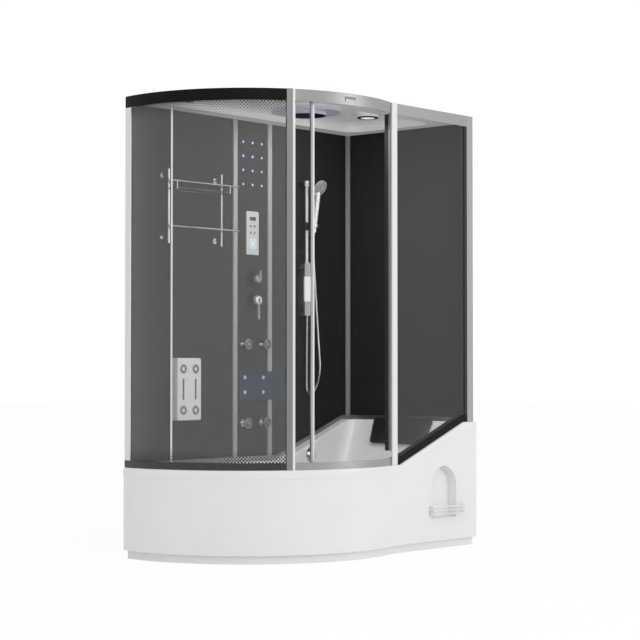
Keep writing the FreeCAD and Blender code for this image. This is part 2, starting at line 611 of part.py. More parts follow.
def tube(name, length, width, height, x, y, z, along):
    """Square steel tube from its lower corner, open along one axis."""
    sizes, corner = [length, width, height], [x, y, z]
    inner = [size if axis == along else f"{size} - 2 * tube_wall" for axis, size in zip("xyz", sizes)]
    place = [spot if axis == along else f"{spot} + tube_wall" for axis, spot in zip("xyz", corner)]
    space = box(name + "_space", *inner, *place)
    return cut(name, box(name + "_bar", *sizes, *corner), [space])


def build_frame():
    """Steel frame under the bowl: butted square tubes with screw feet."""
    left, right = "bow_x - frame_reach", "right - frame_end_gap"
    low_y, high_y = "flat_y + frame_front_gap", "drain_y + trap_radius + trap_gap"
    size, top = "tube_size", "frame_low + tube_size"
    width = f"{high_y} - ({low_y}) - tube_size"
    tubes = []
    for i, y in enumerate((low_y, high_y)):
        tubes.append(tube(f"long_tube_{i}", f"{right} - ({left})", size, size, left, y, "frame_low", "x"))
        tubes.append(tube(f"upright_{i}", size, size, f"rim_high - rim_wall - ({top})",
                          f"{right} - tube_size", y, top, "z"))
    for i, x in enumerate((left, "drain_x - cross_gap", f"{right} - tube_size")):
        tubes.append(tube(f"cross_tube_{i}", size, width, size, x, f"{low_y} + tube_size", "frame_low", "y"))
    feet = []
    for i, x in enumerate((f"{left} + foot_inset", "0", f"{right} - tube_size - foot_inset")):
        for j, y in enumerate((low_y, high_y)):
            foot = turned(f"foot_{i}_{j}", [("0", "0"), ("foot_radius", "0"),
                                            ("foot_radius", "foot_height"), ("stem_radius", "foot_height"),
                                            ("stem_radius", "frame_low"), ("0", "frame_low")])
            feet.append(at(foot, x, f"{y} + tube_size / 2"))
    node(group("frame_and_feet", tubes + feet), "tub_frame")


def build_drain():
    """Waste with its plug, trap and tilted overflow with its dial."""
    waste = turned("waste", [
        ("drain_bore", "drain_low"), ("drain_tail", "drain_low"), ("drain_tail", "floor_height"),
        ("drain_flange", "floor_height"), ("drain_flange", "seat_z"), ("drain_bore", "seat_z"),
        ("drain_bore", "spider_low + spider_wall"), ("plug_guide", "spider_low + spider_wall"),
        ("plug_guide", "spider_low"), ("drain_bore", "spider_low")])
    at(waste, "drain_x", "drain_y")
    holes = [rod(f"spider_hole_{i}", "spider_hole", "spider_wall + 2 * overrun",
                 f"drain_x + spider_ring * cos({i} * 90)", f"drain_y + spider_ring * sin({i} * 90)",
                 "spider_low - overrun") for i in range(4)]
    waste = cut("waste_whole", waste, holes)
    trap = rod("trap_pot", "trap_radius", "drain_low - trap_floor", "drain_x", "drain_y", "trap_floor")
    outlet = rod("trap_outlet", "outlet_radius", "rear - outlet_gap - drain_y", "drain_x",
                 "rear - outlet_gap", "outlet_level", "out")
    bore = rod("outlet_space", "outlet_bore", "rear - drain_y - trap_radius - outlet_gap", "drain_x",
               "rear - outlet_gap", "outlet_level", "out")
    collar = rod("outlet_collar", "collar_radius", "trap_radius + collar_length", "drain_x",
                 "drain_y + trap_radius + collar_length", "outlet_level", "out")
    pot = cut("trap_whole", fuse("trap_solid", [trap, outlet, collar]), [bore])
    node(group("waste_set", [waste, pot]), "waste_trap")

    plug = turned("plug", [("0", "seat_z + seat_gap"), ("plug_radius", "seat_z + seat_gap"),
                           ("plug_radius", "seat_z + plug_height"), ("0", "seat_z + plug_height")])
    stem = rod("plug_pin", "plug_stem", "seat_z + plug_height - drain_low - plug_stem_gap", "drain_x",
               "drain_y", "drain_low + plug_stem_gap")
    node(fuse("plug_whole", [at(plug, "drain_x", "drain_y"), stem]), "waste_plug")

    tilt = "-overflow_tilt"
    plate = turned("overflow", [
        ("overflow_depth", "dial_bore"), ("overflow_depth", "overflow_neck"), ("0", "overflow_neck"),
        ("0", "overflow_radius"), ("-overflow_plate", "overflow_radius"), ("-overflow_plate", "dial_bore")],
        "YZ_Plane", "H_Axis")
    at(plate, "overflow_x", "overflow_y", "overflow_z", tilt, ALONG)
    node(plate, "overflow_body")
    dial = turned("dial", [
        ("overflow_depth", "0"), ("overflow_depth", "dial_pin"),
        ("-overflow_plate - seat_gap", "dial_pin"), ("-overflow_plate - seat_gap", "dial_radius"),
        ("-overflow_plate - dial_height + dial_grip", "dial_radius"),
        ("-overflow_plate - dial_height", "dial_radius - dial_grip"), ("-overflow_plate - dial_height", "0")],
        "YZ_Plane", "H_Axis")
    at(dial, "overflow_x", "overflow_y", "overflow_z", tilt, ALONG)
    node(dial, "overflow_knob")


def build_pillow():
    """Backrest pillow: crowned cushion with drawn-in sides on the sloping end of the bowl."""
    run, fall = val("bowl_floor_end - bowl_rim_end"), val("bowl_fall")
    slope = V(-run, 0, -fall).normalize()
    out = V(-fall, 0, run).normalize()
    across = V(0, 1, 0)
    start = V(val("right - bowl_rim_end"), val("pillow_middle"), val("rim_high"))
    centre = start + slope * val("pillow_length / 2 - pillow_rise") + out * val("seat_gap")
    wires = []
    for height, share in zip(PILLOW_HEIGHT_SHARES, PILLOW_OUTLINE_SHARES):
        trim = val("pillow_thick") * (1 - share)
        length = val("pillow_length / 2") - trim
        wide, narrow = val("pillow_top_width / 2") - trim, val("pillow_low_width / 2") - trim
        base = centre + out * (val("pillow_thick") * height)
        corners = [base + across * y + slope * s for y, s in
                   ((wide, -length), (-wide, -length), (-narrow, length), (narrow, length))]
        wires.append(round_loop(corners, val("pillow_round") - trim / 2))
    node(feature("pillow_shape", Part.makeLoft(wires, True, False)), "headrest_pillow")


def round_loop(corners, radius):
    """Closed outline with its corners rounded by tangent arcs."""
    edges, starts, stops = [], [], []
    for i, here in enumerate(corners):
        back = (corners[i - 1] - here).normalize()
        ahead = (corners[(i + 1) % len(corners)] - here).normalize()
        half = back.getAngle(ahead) / 2
        reach = radius / math.tan(half)
        middle = (back + ahead).normalize()
        apex = here + middle * (radius / math.sin(half) - radius)
        starts.append(here + back * reach)
        stops.append(here + ahead * reach)
        edges.append(Part.Arc(starts[-1], apex, stops[-1]).toShape())
    ring = []
    for i, arc in enumerate(edges):
        ring += [arc, Part.makeLine(stops[i], starts[(i + 1) % len(starts)])]
    return Part.Wire(ring)


def build_walls():
    """Back and side panels, their profiles and the sill they stand on."""
    base = "rim_low + sill_height"
    node(at(pad("wall_a", "XZ_Plane", [block("wall_left", base, "cap_left - cap_web / 2", "wall_top")],
                "panel_thick"), y="wall_y + panel_thick"), "back_panel_left")
    node(at(pad("wall_b", "XZ_Plane",
                [block("cap_left + cap_web / 2", base, "cap_right - cap_web / 2", "wall_top")],
                "panel_thick"), y="wall_y + panel_thick"), "column_panel")
    edge = "side_x + panel_thick"
    lift = "rim_high + sill_height"
    node(at(pad("wall_c", "XZ_Plane", [[
        ("cap_right + cap_web / 2", base), ("slope_start", base), ("slope_end", lift), (edge, lift),
        (edge, "wall_top"), ("cap_right + cap_web / 2", "wall_top")]], "panel_thick"),
        y="wall_y + panel_thick"), "back_panel_right")
    node(at(pad("wall_d", "YZ_Plane", [block("rail_in_y", lift, "wall_y", "wall_top")],
                "panel_thick"), "side_x"), "side_panel")

    caps = []
    for i, x in enumerate(("cap_left", "cap_right")):
        half, web = "cap_width / 2", "cap_web / 2"
        section = [(f"-{half}", "-cap_proud"), (half, "-cap_proud"), (half, "0"), (web, "0"),
                   (web, "panel_thick"), (half, "panel_thick"), (half, "panel_thick + cap_back"),
                   (f"-{half}", "panel_thick + cap_back"), (f"-{half}", "panel_thick"),
                   (f"-{web}", "panel_thick"), (f"-{web}", "0"), (f"-{half}", "0")]
        caps.append(at(pad(f"cap_{i}", "XY_Plane", [section], f"wall_top - ({base})"), x, "wall_y", base))
    leg, thick = "-corner_leg", "-corner_wall"
    angle = pad("corner_angle", "XY_Plane", [[
        (leg, "0"), (leg, thick), (thick, thick), (thick, leg), ("0", leg), ("0", "0")]],
        f"wall_top - ({lift})")
    caps.append(at(angle, "side_x", "wall_y", lift))
    node(group("caps", caps), "wall_profiles")

    deep = "cap_proud + panel_thick + cap_back"
    strip = pad("sill_back", "XZ_Plane", [[
        ("wall_left", "rim_low"), ("slope_start", "rim_low"), ("slope_end", "rim_high"),
        ("side_x + panel_thick + cap_back", "rim_high"), ("side_x + panel_thick + cap_back", lift),
        ("slope_end", lift), ("slope_start", base), ("wall_left", base)]], deep)
    at(strip, y="wall_y + panel_thick + cap_back")
    side = box("sill_side", deep, "wall_y - cap_proud - rail_in_y", "sill_height",
               "side_x - cap_proud", "rail_in_y", "rim_high")
    node(group("sills", [strip, side]), "wall_sill")


def top_section(inner):
    """Section of the top rail: glass groove, roller track and inner skirt, outer face first."""
    low, top = "top_low", "cabin_height"
    roof, web = f"{top} - rail_web", "rail_r - web_set"
    return [("rail_r", low), ("rail_r", top), (inner, top), (inner, f"{low} + inner_skirt_level"),
            (f"{inner} + rail_wall", f"{low} + inner_skirt_level"), (f"{inner} + rail_wall", roof),
            (f"{web} - rail_wall", roof), (f"{web} - rail_wall", "ledge_top"),
            ("rail_r - ledge_end", "ledge_top"), ("rail_r - ledge_end", f"{low} + ledge_level"),
            (web, f"{low} + ledge_level"), (web, roof), ("rail_r - rail_wall", roof),
            ("rail_r - rail_wall", low)]


def low_section():
    """Section of the bottom rail: glass groove and guide channel."""
    low, floor, web = "rim_low", "rim_low + rail_web", "rail_r - web_set"
    return [("rail_r", low), ("rail_r", "low_top"), ("rail_r - rail_wall", "low_top"),
            ("rail_r - rail_wall", floor), (web, floor), (web, f"{low} + low_web_height"),
            (f"{web} - rail_wall", f"{low} + low_web_height"), (f"{web} - rail_wall", floor),
            ("rail_in + rail_wall", floor), ("rail_in + rail_wall", f"{low} + low_inner_height"),
            ("rail_in", f"{low} + low_inner_height"), ("rail_in", low)]


def build_rails():
    """Rails, posts, seals and the two fixed panes."""
    left_sweep, door_run = "mid_joint - left_start", "bow_end - mid_joint"
    node(swept("rail_a", top_section("rail_in"), "left_start", left_sweep), "top_rail_left")
    node(swept("rail_b", top_section("rail_in"), "mid_joint", door_run), "top_rail_door")
    node(swept("rail_c", low_section(), "left_start", left_sweep), "bottom_rail_left")
    node(swept("rail_d", low_section(), "mid_joint", door_run), "bottom_rail_door")

    roof = "cabin_height - rail_web"
    web = "rail_y + web_set"
    straight = pad("rail_e", "YZ_Plane", [[
        ("rail_y", "top_low"), ("rail_y + rail_wall", "top_low"), ("rail_y + rail_wall", roof), (web, roof),
        (web, "top_low + ledge_level"), (f"{web} + rail_wall", "top_low + ledge_level"),
        (f"{web} + rail_wall", roof), ("rail_in_y - rail_wall", roof),
        ("rail_in_y - rail_wall", "top_low + inner_skirt_level"),
        ("rail_in_y", "top_low + inner_skirt_level"), ("rail_in_y", "cabin_height"),
        ("rail_y", "cabin_height")]], "end_post_left - bow_end_x - seat_gap")
    node(at(straight, "bow_end_x + seat_gap"), "top_rail_right")
    run = "slope_rail_height"
    sloped = pad("rail_f", "XZ_Plane", [[
        ("post_right", "rim_low"), ("slope_start", "rim_low"), ("slope_end", "rim_high"),
        ("end_post_left", "rim_high"), ("end_post_left", f"rim_high + {run}"),
        ("slope_end", f"rim_high + {run}"), ("slope_start", f"rim_low + {run}"),
        ("post_right", f"rim_low + {run}")]], "rail_depth")
    groove = pad("groove", "XZ_Plane", [[
        ("post_right - overrun", "rim_low + slope_groove"), ("slope_start", "rim_low + slope_groove"),
        ("slope_end", "rim_high + slope_groove"), ("end_post_left + overrun", "rim_high + slope_groove"),
        ("end_post_left + overrun", f"rim_high + {run} + overrun"),
        ("slope_end", f"rim_high + {run} + overrun"), ("slope_start", f"rim_low + {run} + overrun"),
        ("post_right - overrun", f"rim_low + {run} + overrun")]], "glass_thick + 2 * groove_play")
    at(sloped, y="rail_in_y")
    at(groove, y="rail_y + glass_set + glass_thick + groove_play")
    node(cut("rail_f_cut", sloped, [groove]), "bottom_rail_right")

    node(swept("pane_a", block("rail_r - glass_set - glass_thick", "rim_low + rail_web + seat_gap",
                               "rail_r - glass_set", "cabin_height - glass_top_gap"),
               "left_start + left_post_sweep_angle * 1 deg",
               "(mid_post_start_angle - left_post_sweep_angle) * 1 deg - left_start"), "glass_left")
    flat = pad("pane_b", "XZ_Plane", [[
        ("post_right", "rim_low + slope_groove"), ("slope_start", "rim_low + slope_groove"),
        ("slope_end", "rim_high + slope_groove"), ("end_seal_left", "rim_high + slope_groove"),
        ("end_seal_left", "cabin_height - glass_top_gap"), ("post_right", "cabin_height - glass_top_gap")]],
        "glass_thick")
    node(at(flat, y="rail_y + glass_set + glass_thick"), "glass_right")

    left_post = swept("post_a", block("rail_in", "low_top", "rail_r", "top_low"), "left_start",
                      "left_post_sweep_angle * 1 deg")
    end_post = box("post_b", "right_post_width", "rail_depth", "cabin_height - rim_high", "end_post_left",
                   "rail_y", "rim_high")
    node(group("posts", [left_post, end_post]), "wall_posts")
    node(swept("post_c", [
        ("rail_r + seat_gap", "rim_low"), ("rail_r + post_proud", "rim_low"),
        ("rail_r + post_proud", "cabin_height"), ("rail_r + seat_gap", "cabin_height"),
        ("rail_r + seat_gap", "top_low"), ("rail_r - rib_depth", "top_low"),
        ("rail_r - rib_depth", "low_top"), ("rail_r + seat_gap", "low_top")],
        "mid_post_start_angle * 1 deg", "mid_post_sweep_angle * 1 deg"), "post_door_left")
    strip = box("post_strip", "post_width", "post_proud - seat_gap", "cabin_height - rim_low", "post_left",
                "rail_y - post_proud", "rim_low")
    bow = rod("strip_space", "rail_r + seat_gap", "cabin_height", "bow_x", "bow_y")
    strip = cut("post_strip_cut", strip, [bow])
    rib = box("post_rib", "post_width", "rail_depth + seat_gap", "top_low - low_top - slope_rail_height",
              "post_left", "rail_y - seat_gap", "low_top + slope_rail_height")
    node(fuse("post_d", [strip, rib]), "post_door_right")
    door_seal = box("seal_a", "seal_width", "seal_depth", "top_low - low_top - slope_rail_height",
                    "post_left - seal_width", "rail_y", "low_top + slope_rail_height")
    end_seal = box("seal_b", "right_seal_width", "rail_depth - 2 * glass_set",
                   "top_low - rim_high - slope_rail_height", "end_seal_left", "rail_y + seat_gap",
                   "rim_high + slope_rail_height")
    node(group("seals", [door_seal, end_seal]), "glass_seals")


def build_door():
    """Curved sliding door with edge profiles, handles, hangers, guides and rollers."""
    start, stop = "door_start_angle * 1 deg", "(door_start_angle + door_sweep_angle) * 1 deg"
    node(swept("door_pane", block("door_in", "door_low", "door_r", "door_top"), start,
               "door_sweep_angle * 1 deg"), "door_glass")
    bands = [block(f"door_in - {proud}", "door_low", f"door_r + {proud}", "door_top")
             for proud in ("frame_proud", "trail_proud")]
    lead = swept("door_lead", bands[0], stop, "lead_sweep_angle * 1 deg")
    trail = swept("door_trail", bands[1], "(door_start_angle - trail_sweep_angle) * 1 deg",
                  "trail_sweep_angle * 1 deg")
    node(group("door_edges", [lead, trail]), "door_profiles")

    places = {"front": "(door_start_angle + door_sweep_angle - hanger_inset_angle) * 1 deg",
              "rear": "(door_start_angle + hanger_inset_angle) * 1 deg"}
    carriers = []
    for name, angle in places.items():
        half = "asin(hanger_width / 2 / door_in)"
        plate = swept(f"hanger_{name}", block(
            "door_in - seat_gap - hanger_wall", "door_top - hanger_drop", "door_in - seat_gap",
            "door_top + hanger_rise"), f"{angle} - {half}", f"2 * {half}")
        axle = turned(f"axle_{name}", [
            ("0", "0"), ("wheel_out - door_in + hanger_wall", "0"),
            ("wheel_out - door_in + hanger_wall", "axle_radius"), ("0", "axle_radius")],
            "XZ_Plane", "H_Axis")
        reach = "(door_in - hanger_wall)"
        at(axle, f"bow_x + {reach} * cos({angle})", f"bow_y + {reach} * sin({angle})", "wheel_z", angle)
        carriers.append(fuse(f"carrier_{name}", [plate, axle]))
        wheel = turned(f"wheel_{name}", [
            ("0", "axle_radius + axle_play"), ("0", "wheel_radius"), ("-wheel_width", "wheel_radius"),
            ("-wheel_width", "axle_radius + axle_play")], "XZ_Plane", "H_Axis")
        at(wheel, f"bow_x + wheel_out * cos({angle})", f"bow_y + wheel_out * sin({angle})", "wheel_z", angle)
        node(wheel, f"roller_{name}")
        width = "asin(guide_width / 2 / door_in)"
        middle = "(door_in + door_r) / 2"
        carriers.append(swept(f"guide_{name}", block(
            f"{middle} - guide_depth / 2", "door_low - guide_height", f"{middle} + guide_depth / 2",
            "door_low"), f"{angle} - {width}", f"2 * {width}"))
    node(group("carriers", carriers), "door_hangers")

    angle = f"{stop} - handle_offset_angle * 1 deg"
    outer = pad("grip_bar", "XY_Plane", [soft_block(
        "door_r + handle_gap", "-handle_width / 2", "door_r + handle_gap + handle_thick",
        "handle_width / 2", "edge_round")], "handle_height")
    inner = pad("pull_bar", "XY_Plane", [soft_block(
        "door_in - pull_gap - pull_thick", "-pull_width / 2", "door_in - pull_gap", "pull_width / 2",
        "edge_round")], "handle_height")
    for bar in (outer, inner):
        at(bar, "bow_x", "bow_y", "handle_bottom", angle)
    studs = {"out": [], "in": []}
    for i, level in enumerate(("handle_bottom + stud_inset", "handle_bottom + handle_height - stud_inset")):
        for side, reach, length in (("out", "door_r + seat_gap", "handle_gap"),
                                    ("in", "door_in - seat_gap - pull_gap", "pull_gap")):
            stud = turned(f"stud_{side}_{i}", [("0", "0"), (length, "0"), (length, "stud_radius"),
                                               ("0", "stud_radius")], "XZ_Plane", "H_Axis")
            at(stud, f"bow_x + ({reach}) * cos({angle})", f"bow_y + ({reach}) * sin({angle})", level, angle)
            studs[side].append(stud)
    node(group("handles", [fuse("handle_out", [outer] + studs["out"]),
                           fuse("handle_in", [inner] + studs["in"])]), "door_handle")


def build_roof():
    """Moulded roof tray with the rain head, its ring and a round light."""
    wall, brim, lean = val("roof_wall"), val("roof_brim"), val("roof_lean")
    front, end = val("rail_inset + rail_depth + seat_gap"), val("end_inset")
    back = val("wall_face_inset - cap_back")
    low, rise = val("wall_top"), val("roof_rise")

    def tray(grow, bottom, top):
        """Raised middle of the roof."""
        wires = [soft_plan(front + brim + step - grow, end + brim + step - grow, back + brim + step - grow,
                           val("bowl_round"), level) for step, level in ((0, bottom), (lean, top))]
        return Part.makeLoft(wires, True, True)
    sheet_part = prism(plan(front, end, back, low), wall)
    crown = tray(wall, low, low + rise + wall)
    shape = sheet_part.fuse(crown).cut(tray(0, low - val("overrun"), low + rise))
    shape = shape.cut(prism(soft_plan(front + brim, end + brim, back + brim, val("bowl_round"), low), wall))
    hub, edge = V(val("bow_x"), val("bow_y"), low), V(val("bow_x"), val("-rear"), low)
    nook = Part.makeBox(val("tub_length"), val("rail_in_y + seat_gap + rear"), wall, edge)
    shape = shape.cut(nook.cut(Part.makeCylinder(val("rail_in - seat_gap"), wall, hub)))
    node(feature("roof_shape", shape.removeSplitter().Solids[0]), "roof_panel")
    disc = turned("rain_disc", [("0", "-rain_drop"), ("rain_radius", "-rain_drop"), ("rain_radius", "0"),
                                ("0", "0")])
    ring = turned("rain_ring", [("rain_radius + ring_gap", "-ring_drop"), ("ring_radius", "-ring_drop"),
                                ("ring_radius", "0"), ("rain_radius + ring_gap", "0")])
    for part in (disc, ring):
        at(part, "column_x", "rain_y", "ceiling")
    node(group("rain", [disc, ring]), "rain_head")
    lamp = turned("lamp", [("0", "lamp_recess - lamp_drop"), ("lamp_lens", "lamp_recess - lamp_drop"),
                           ("lamp_lens", "-lamp_drop"), ("lamp_radius", "-lamp_drop"), ("lamp_radius", "0"),
                           ("0", "0")])
    node(at(lamp, "lamp_x", "lamp_y", "ceiling"), "ceiling_light")


def build_controls():
    """Control panel with sunk keys and a four-way pad."""
    half = "panel_width / 2"
    front = pad("control", "XZ_Plane", [soft_block(f"-{half}", "0", half, "panel_height", "panel_round")],
                "panel_depth")
    rounded(front, "panel_edge", "panel_depth")
    at(front, "column_x", "wall_y", "panel_low")
    screen = "screen_width / 2"
    pocket(front, "XZ_Plane", [block(f"-{screen}", "screen_level - screen_height / 2", screen,
                                     "screen_level + screen_height / 2")], "screen_recess", "panel_depth")
    hole = "key_radius + key_play"
    keys = {"key_lamp": ("-key_pitch / 2", "key_high"), "key_fan": ("key_pitch / 2", "key_high"),
            "key_radio": ("-key_pitch / 2", "key_low"), "key_phone": ("key_pitch / 2", "key_low")}
    pad_half = "pad_size / 2 + key_play"
    wells = [[(x, z, hole)] for x, z in keys.values()]
    wells.append(soft_block(f"-({pad_half})", f"pad_level - ({pad_half})", pad_half,
                            f"pad_level + ({pad_half})", "pad_round"))
    pocket(front, "XZ_Plane", wells, "key_depth + 2 * key_play", "panel_depth")
    node(front, "control_panel")
    depth = "key_depth - key_play + key_proud"
    for name, (x, z) in keys.items():
        key = pad(name + "_body", "XZ_Plane", [[("0", "0", "key_radius")]], depth)
        at(key, f"column_x + {x}", "front_y + key_depth - key_play", f"panel_low + {z}")
        node(key, name)
    half = "pad_size / 2"
    four = pad("four_way", "XZ_Plane", [soft_block(f"-{half}", f"-{half}", half, half, "pad_round")], depth)
    node(at(four, "column_x", "front_y + key_depth - key_play", "panel_low + pad_level"), "key_pad")


def build_sprays():
    """Small spray nozzles, the lumbar plate and the four swivel jets."""
    plate = pad("lumbar", "XZ_Plane", [soft_block("-plate_left", "plate_low", "plate_width - plate_left",
                                                  "plate_low + plate_height", "plate_round")], "plate_thick")
    rounded(plate, "plate_edge", "plate_thick")
    node(at(plate, "column_x", "wall_y - cap_proud"), "lumbar_plate")
    tips = []
    for i in range(3):
        for k in range(4):
            tips.append(rod(f"spray_{i}_{k}", "spray_radius", "spray_depth",
                            f"column_x + ({i} - 1) * spray_pitch_x", "wall_y",
                            f"spray_low + {k} * spray_pitch_z", "out"))
    for i in range(2):
        for k in range(2):
            tips.append(rod(f"needle_{i}_{k}", "needle_radius", "needle_depth",
                            f"column_x + ({i} - 0.5) * needle_pitch_x", "wall_y - cap_proud - plate_thick",
                            f"needle_low + {k} * needle_pitch_z", "out"))
    node(group("sprays", tips), "spray_nozzles")

    bases = []
    neck_end = "-jet_reach + sqrt(jet_ball ^ 2 - jet_neck ^ 2)"
    socket = "(jet_ball + jet_play)"
    lip = "(jet_reach - rose_back)"
    lip_r = f"sqrt({socket} ^ 2 - rose_back ^ 2)"
    places = [(side, level) for level in ("jet_high", "jet_low") for side in "-+"]
    for i, (side, level) in enumerate(places):
        base = turned(f"jet_base_{i}", [
            ("0", "0"), ("0", "jet_flange"), ("-jet_flange_depth", "jet_flange"),
            ("-jet_flange_depth", "jet_neck"), (neck_end, "jet_neck", "jet_ball", 1),
            ("-jet_reach - jet_ball", "0")], "YZ_Plane", "H_Axis")
        at(base, f"column_x {side} jet_half", "wall_y", level)
        bases.append(base)
        rose = turned(f"rose_{i}", [
            (f"-{lip}", lip_r, socket, 1), (f"-jet_reach - {socket}", "0"), ("-jet_reach - rose_depth", "0"),
            ("-jet_reach - rose_depth", "rose_radius"), ("-jet_reach - rose_depth / 2", "rose_radius"),
            (f"-{lip}", "rose_cup")], "YZ_Plane", "H_Axis")
        at(rose, f"column_x {side} jet_half", "wall_y", level)
        node(rose, f"jet_rose_{i + 1}")
    node(group("jet_foot", bases), "jet_bases")


def build_valves():
    """Mixer with a turning cap and a lifting lever, and the diverter with its finned knob."""
    bodies = []
    for name, level in (("mixer", "mixer_z"), ("diverter", "diverter_z")):
        body = turned(f"{name}_valve", [
            ("0", "0"), ("0", "valve_plate"), ("-valve_plate_depth", "valve_plate"),
            ("-valve_plate_depth", "valve_neck"), ("-valve_front", "valve_neck"),
            ("-valve_front", "valve_pin"), ("-valve_front - valve_pin_length", "valve_pin"),
            ("-valve_front - valve_pin_length", "0")],
            "YZ_Plane", "H_Axis")
        bodies.append(at(body, "column_x", "wall_y", level))
    for side in "-+":
        name = "inlet_hot" if side == "-" else "inlet_cold"
        bodies.append(rod(name, "inlet_radius", "inlet_depth", f"column_x {side} inlet_pitch / 2",
                          "wall_y + panel_thick + inlet_depth", "mixer_z", "out"))
    node(group("valves", bodies), "valve_bodies")

    start, hole = "-valve_front - seat_gap", "valve_pin + pin_play"
    deep = "-valve_front - valve_pin_length - seat_gap"
    front = "-valve_front - cap_depth"
    cap = turned("mixer_dome", [
        (start, hole), (start, "cap_radius"), (f"{front} + cap_skin", "cap_radius"),
        (front, "cap_radius - cap_skin"), (front, "0"), (deep, "0"), (deep, hole)], "YZ_Plane", "H_Axis")
    at(cap, "column_x", "wall_y", "mixer_z")
    slot = "lever_width / 2 + lever_play"
    fork = box("lever_slot", f"2 * ({slot})", "fork_depth + overrun", "2 * cap_radius",
               f"column_x - ({slot})", f"wall_y + {front} - overrun",
               "mixer_z - 2 * cap_radius + lever_thick")
    pin = rod("lever_axle", "lever_pin", "2 * cap_radius - 2 * cap_skin", "column_x - cap_radius + cap_skin",
              f"wall_y + {front} + fork_depth / 2", "mixer_z - lever_pin_gap", "x")
    node(fuse("mixer_cap_whole", [cut("mixer_cap_cut", cap, [fork]), pin]), "mixer_cap")
    lever_y = f"wall_y + {front} + fork_depth / 2"
    lever = pad("lever_bar", "YZ_Plane", [soft_block(
        "-lever_thick / 2", "-lever_length", "lever_thick / 2", "lever_thick / 2",
        "lever_thick / 2 - seat_gap")], "lever_width")
    at(lever, "column_x - lever_width / 2", lever_y, "mixer_z - lever_pin_gap")
    eye = rod("lever_eye", "lever_pin + pin_play", "lever_width + 2 * overrun",
              "column_x - lever_width / 2 - overrun", lever_y, "mixer_z - lever_pin_gap", "x")
    node(cut("lever_whole", lever, [eye]), "mixer_lever")

    knob = turned("diverter_cap", [
        (start, hole), (start, "knob_radius"), ("-valve_front - knob_depth + cap_skin", "knob_radius"),
        ("-valve_front - knob_depth", "knob_radius - cap_skin"), ("-valve_front - knob_depth", "0"),
        (deep, "0"), (deep, hole)], "YZ_Plane", "H_Axis")
    at(knob, "column_x", "wall_y", "diverter_z")
    fin = pad("diverter_fin", "XZ_Plane", [soft_block("-fin_width / 2", "0", "fin_width / 2", "fin_height",
                                                      "fin_width / 2 - seat_gap")], "fin_depth")
    at(fin, "column_x", "wall_y - valve_front - knob_depth + cap_skin", "diverter_z")
    node(fuse("diverter_whole", [knob, fin]), "diverter_knob")


def build_massage():
    """Massage unit: thick rounded box with four ringed discs, long slots and a side grip."""
    half = "unit_width / 2"
    unit = pad("massage", "XZ_Plane", [soft_block(f"-{half}", "0", half, "unit_height", "unit_round")],
               "unit_depth")
    rounded(unit, "unit_edge", "unit_depth")
    at(unit, "unit_x", "wall_y", "unit_low")
    rings, slots = [], []
    for side in "-+":
        for level in ("disc_low", "disc_high"):
            rings.append([(f"{side}disc_half_x", level, "disc_radius")])
            rings.append([(f"{side}disc_half_x", level, "disc_radius - disc_groove")])
        slots.append(soft_block(f"{side}disc_half_x - slot_width / 2", "slot_low",
                                f"{side}disc_half_x + slot_width / 2", "slot_low + slot_length",
                                "slot_width / 2 - seat_gap"))
    pocket(unit, "XZ_Plane", rings, "disc_recess", "unit_depth")
    pocket(unit, "XZ_Plane", slots, "slot_recess", "unit_depth")
    grip = box("grip_slot", "grip_recess + overrun", "grip_width", "slot_length",
               f"unit_x - {half} - overrun", "wall_y - unit_depth / 2 - grip_width / 2 + unit_round",
               "unit_low + slot_low")
    node(cut("massage_cut", unit, [grip]), "massage_unit")


def build_rack():
    """Towel rack of two upright rods, a gallery rail, a glass shelf and a towel rail."""
    metal = []
    back = "wall_y - towel_stand"
    rails = (("gallery", "gallery_z", "gallery_y"), ("towel", "towel_z", f"{back} - towel_reach"))
    for i, x in enumerate(("towel_left", "towel_left + towel_span")):
        metal.append(rod(f"upright_rod_{i}", "rod_radius", "towel_top - towel_bottom", x, back,
                         "towel_bottom"))
        for k, z in enumerate(("towel_bottom + arm_inset", "towel_top - arm_inset")):
            metal.append(rod(f"arm_{i}_{k}", "arm_radius", "towel_stand", x, "wall_y", z, "out"))
            metal.append(rod(f"arm_rose_{i}_{k}", "rose_flange", "rose_flange_depth", x, "wall_y", z, "out"))
        for name, z, y in rails:
            metal.append(rod(f"{name}_arm_{i}", "tie_radius", f"{back} - ({y})", x, back, z, "out"))
        metal.append(box(f"shelf_rest_{i}", "rest_width", "shelf_depth - towel_stand", "rod_radius",
                         f"{x} - rest_width / 2", "gallery_y", "shelf_z - rod_radius"))
        metal.append(rod(f"gallery_end_{i}", "gallery_post", "gallery_z - shelf_z + rod_radius", x,
                         "gallery_y", "shelf_z - rod_radius"))
    for name, z, y in rails:
        metal.append(rod(f"{name}_rail", "rail_radius", "towel_span + 2 * rail_over",
                         "towel_left - rail_over", y, z, "x"))
    node(fuse("rack_metal", metal), "towel_rack")
    gap = "rod_radius + shelf_play"
    shelf = box("shelf_pane", f"towel_span - 2 * ({gap})", f"shelf_depth - 2 * ({gap})", "shelf_thick",
                f"towel_left + {gap}", f"gallery_y + {gap}", "shelf_z")
    ear_depth = "shelf_depth - towel_stand - 2 * rail_radius - rod_radius - 2 * shelf_play"
    ears = box("shelf_ears", "towel_span + 2 * rod_radius", ear_depth, "shelf_thick",
               "towel_left - rod_radius", "gallery_y + rail_radius + shelf_play", "shelf_z")
    node(fuse("shelf_whole", [shelf, ears]), "rack_shelf")


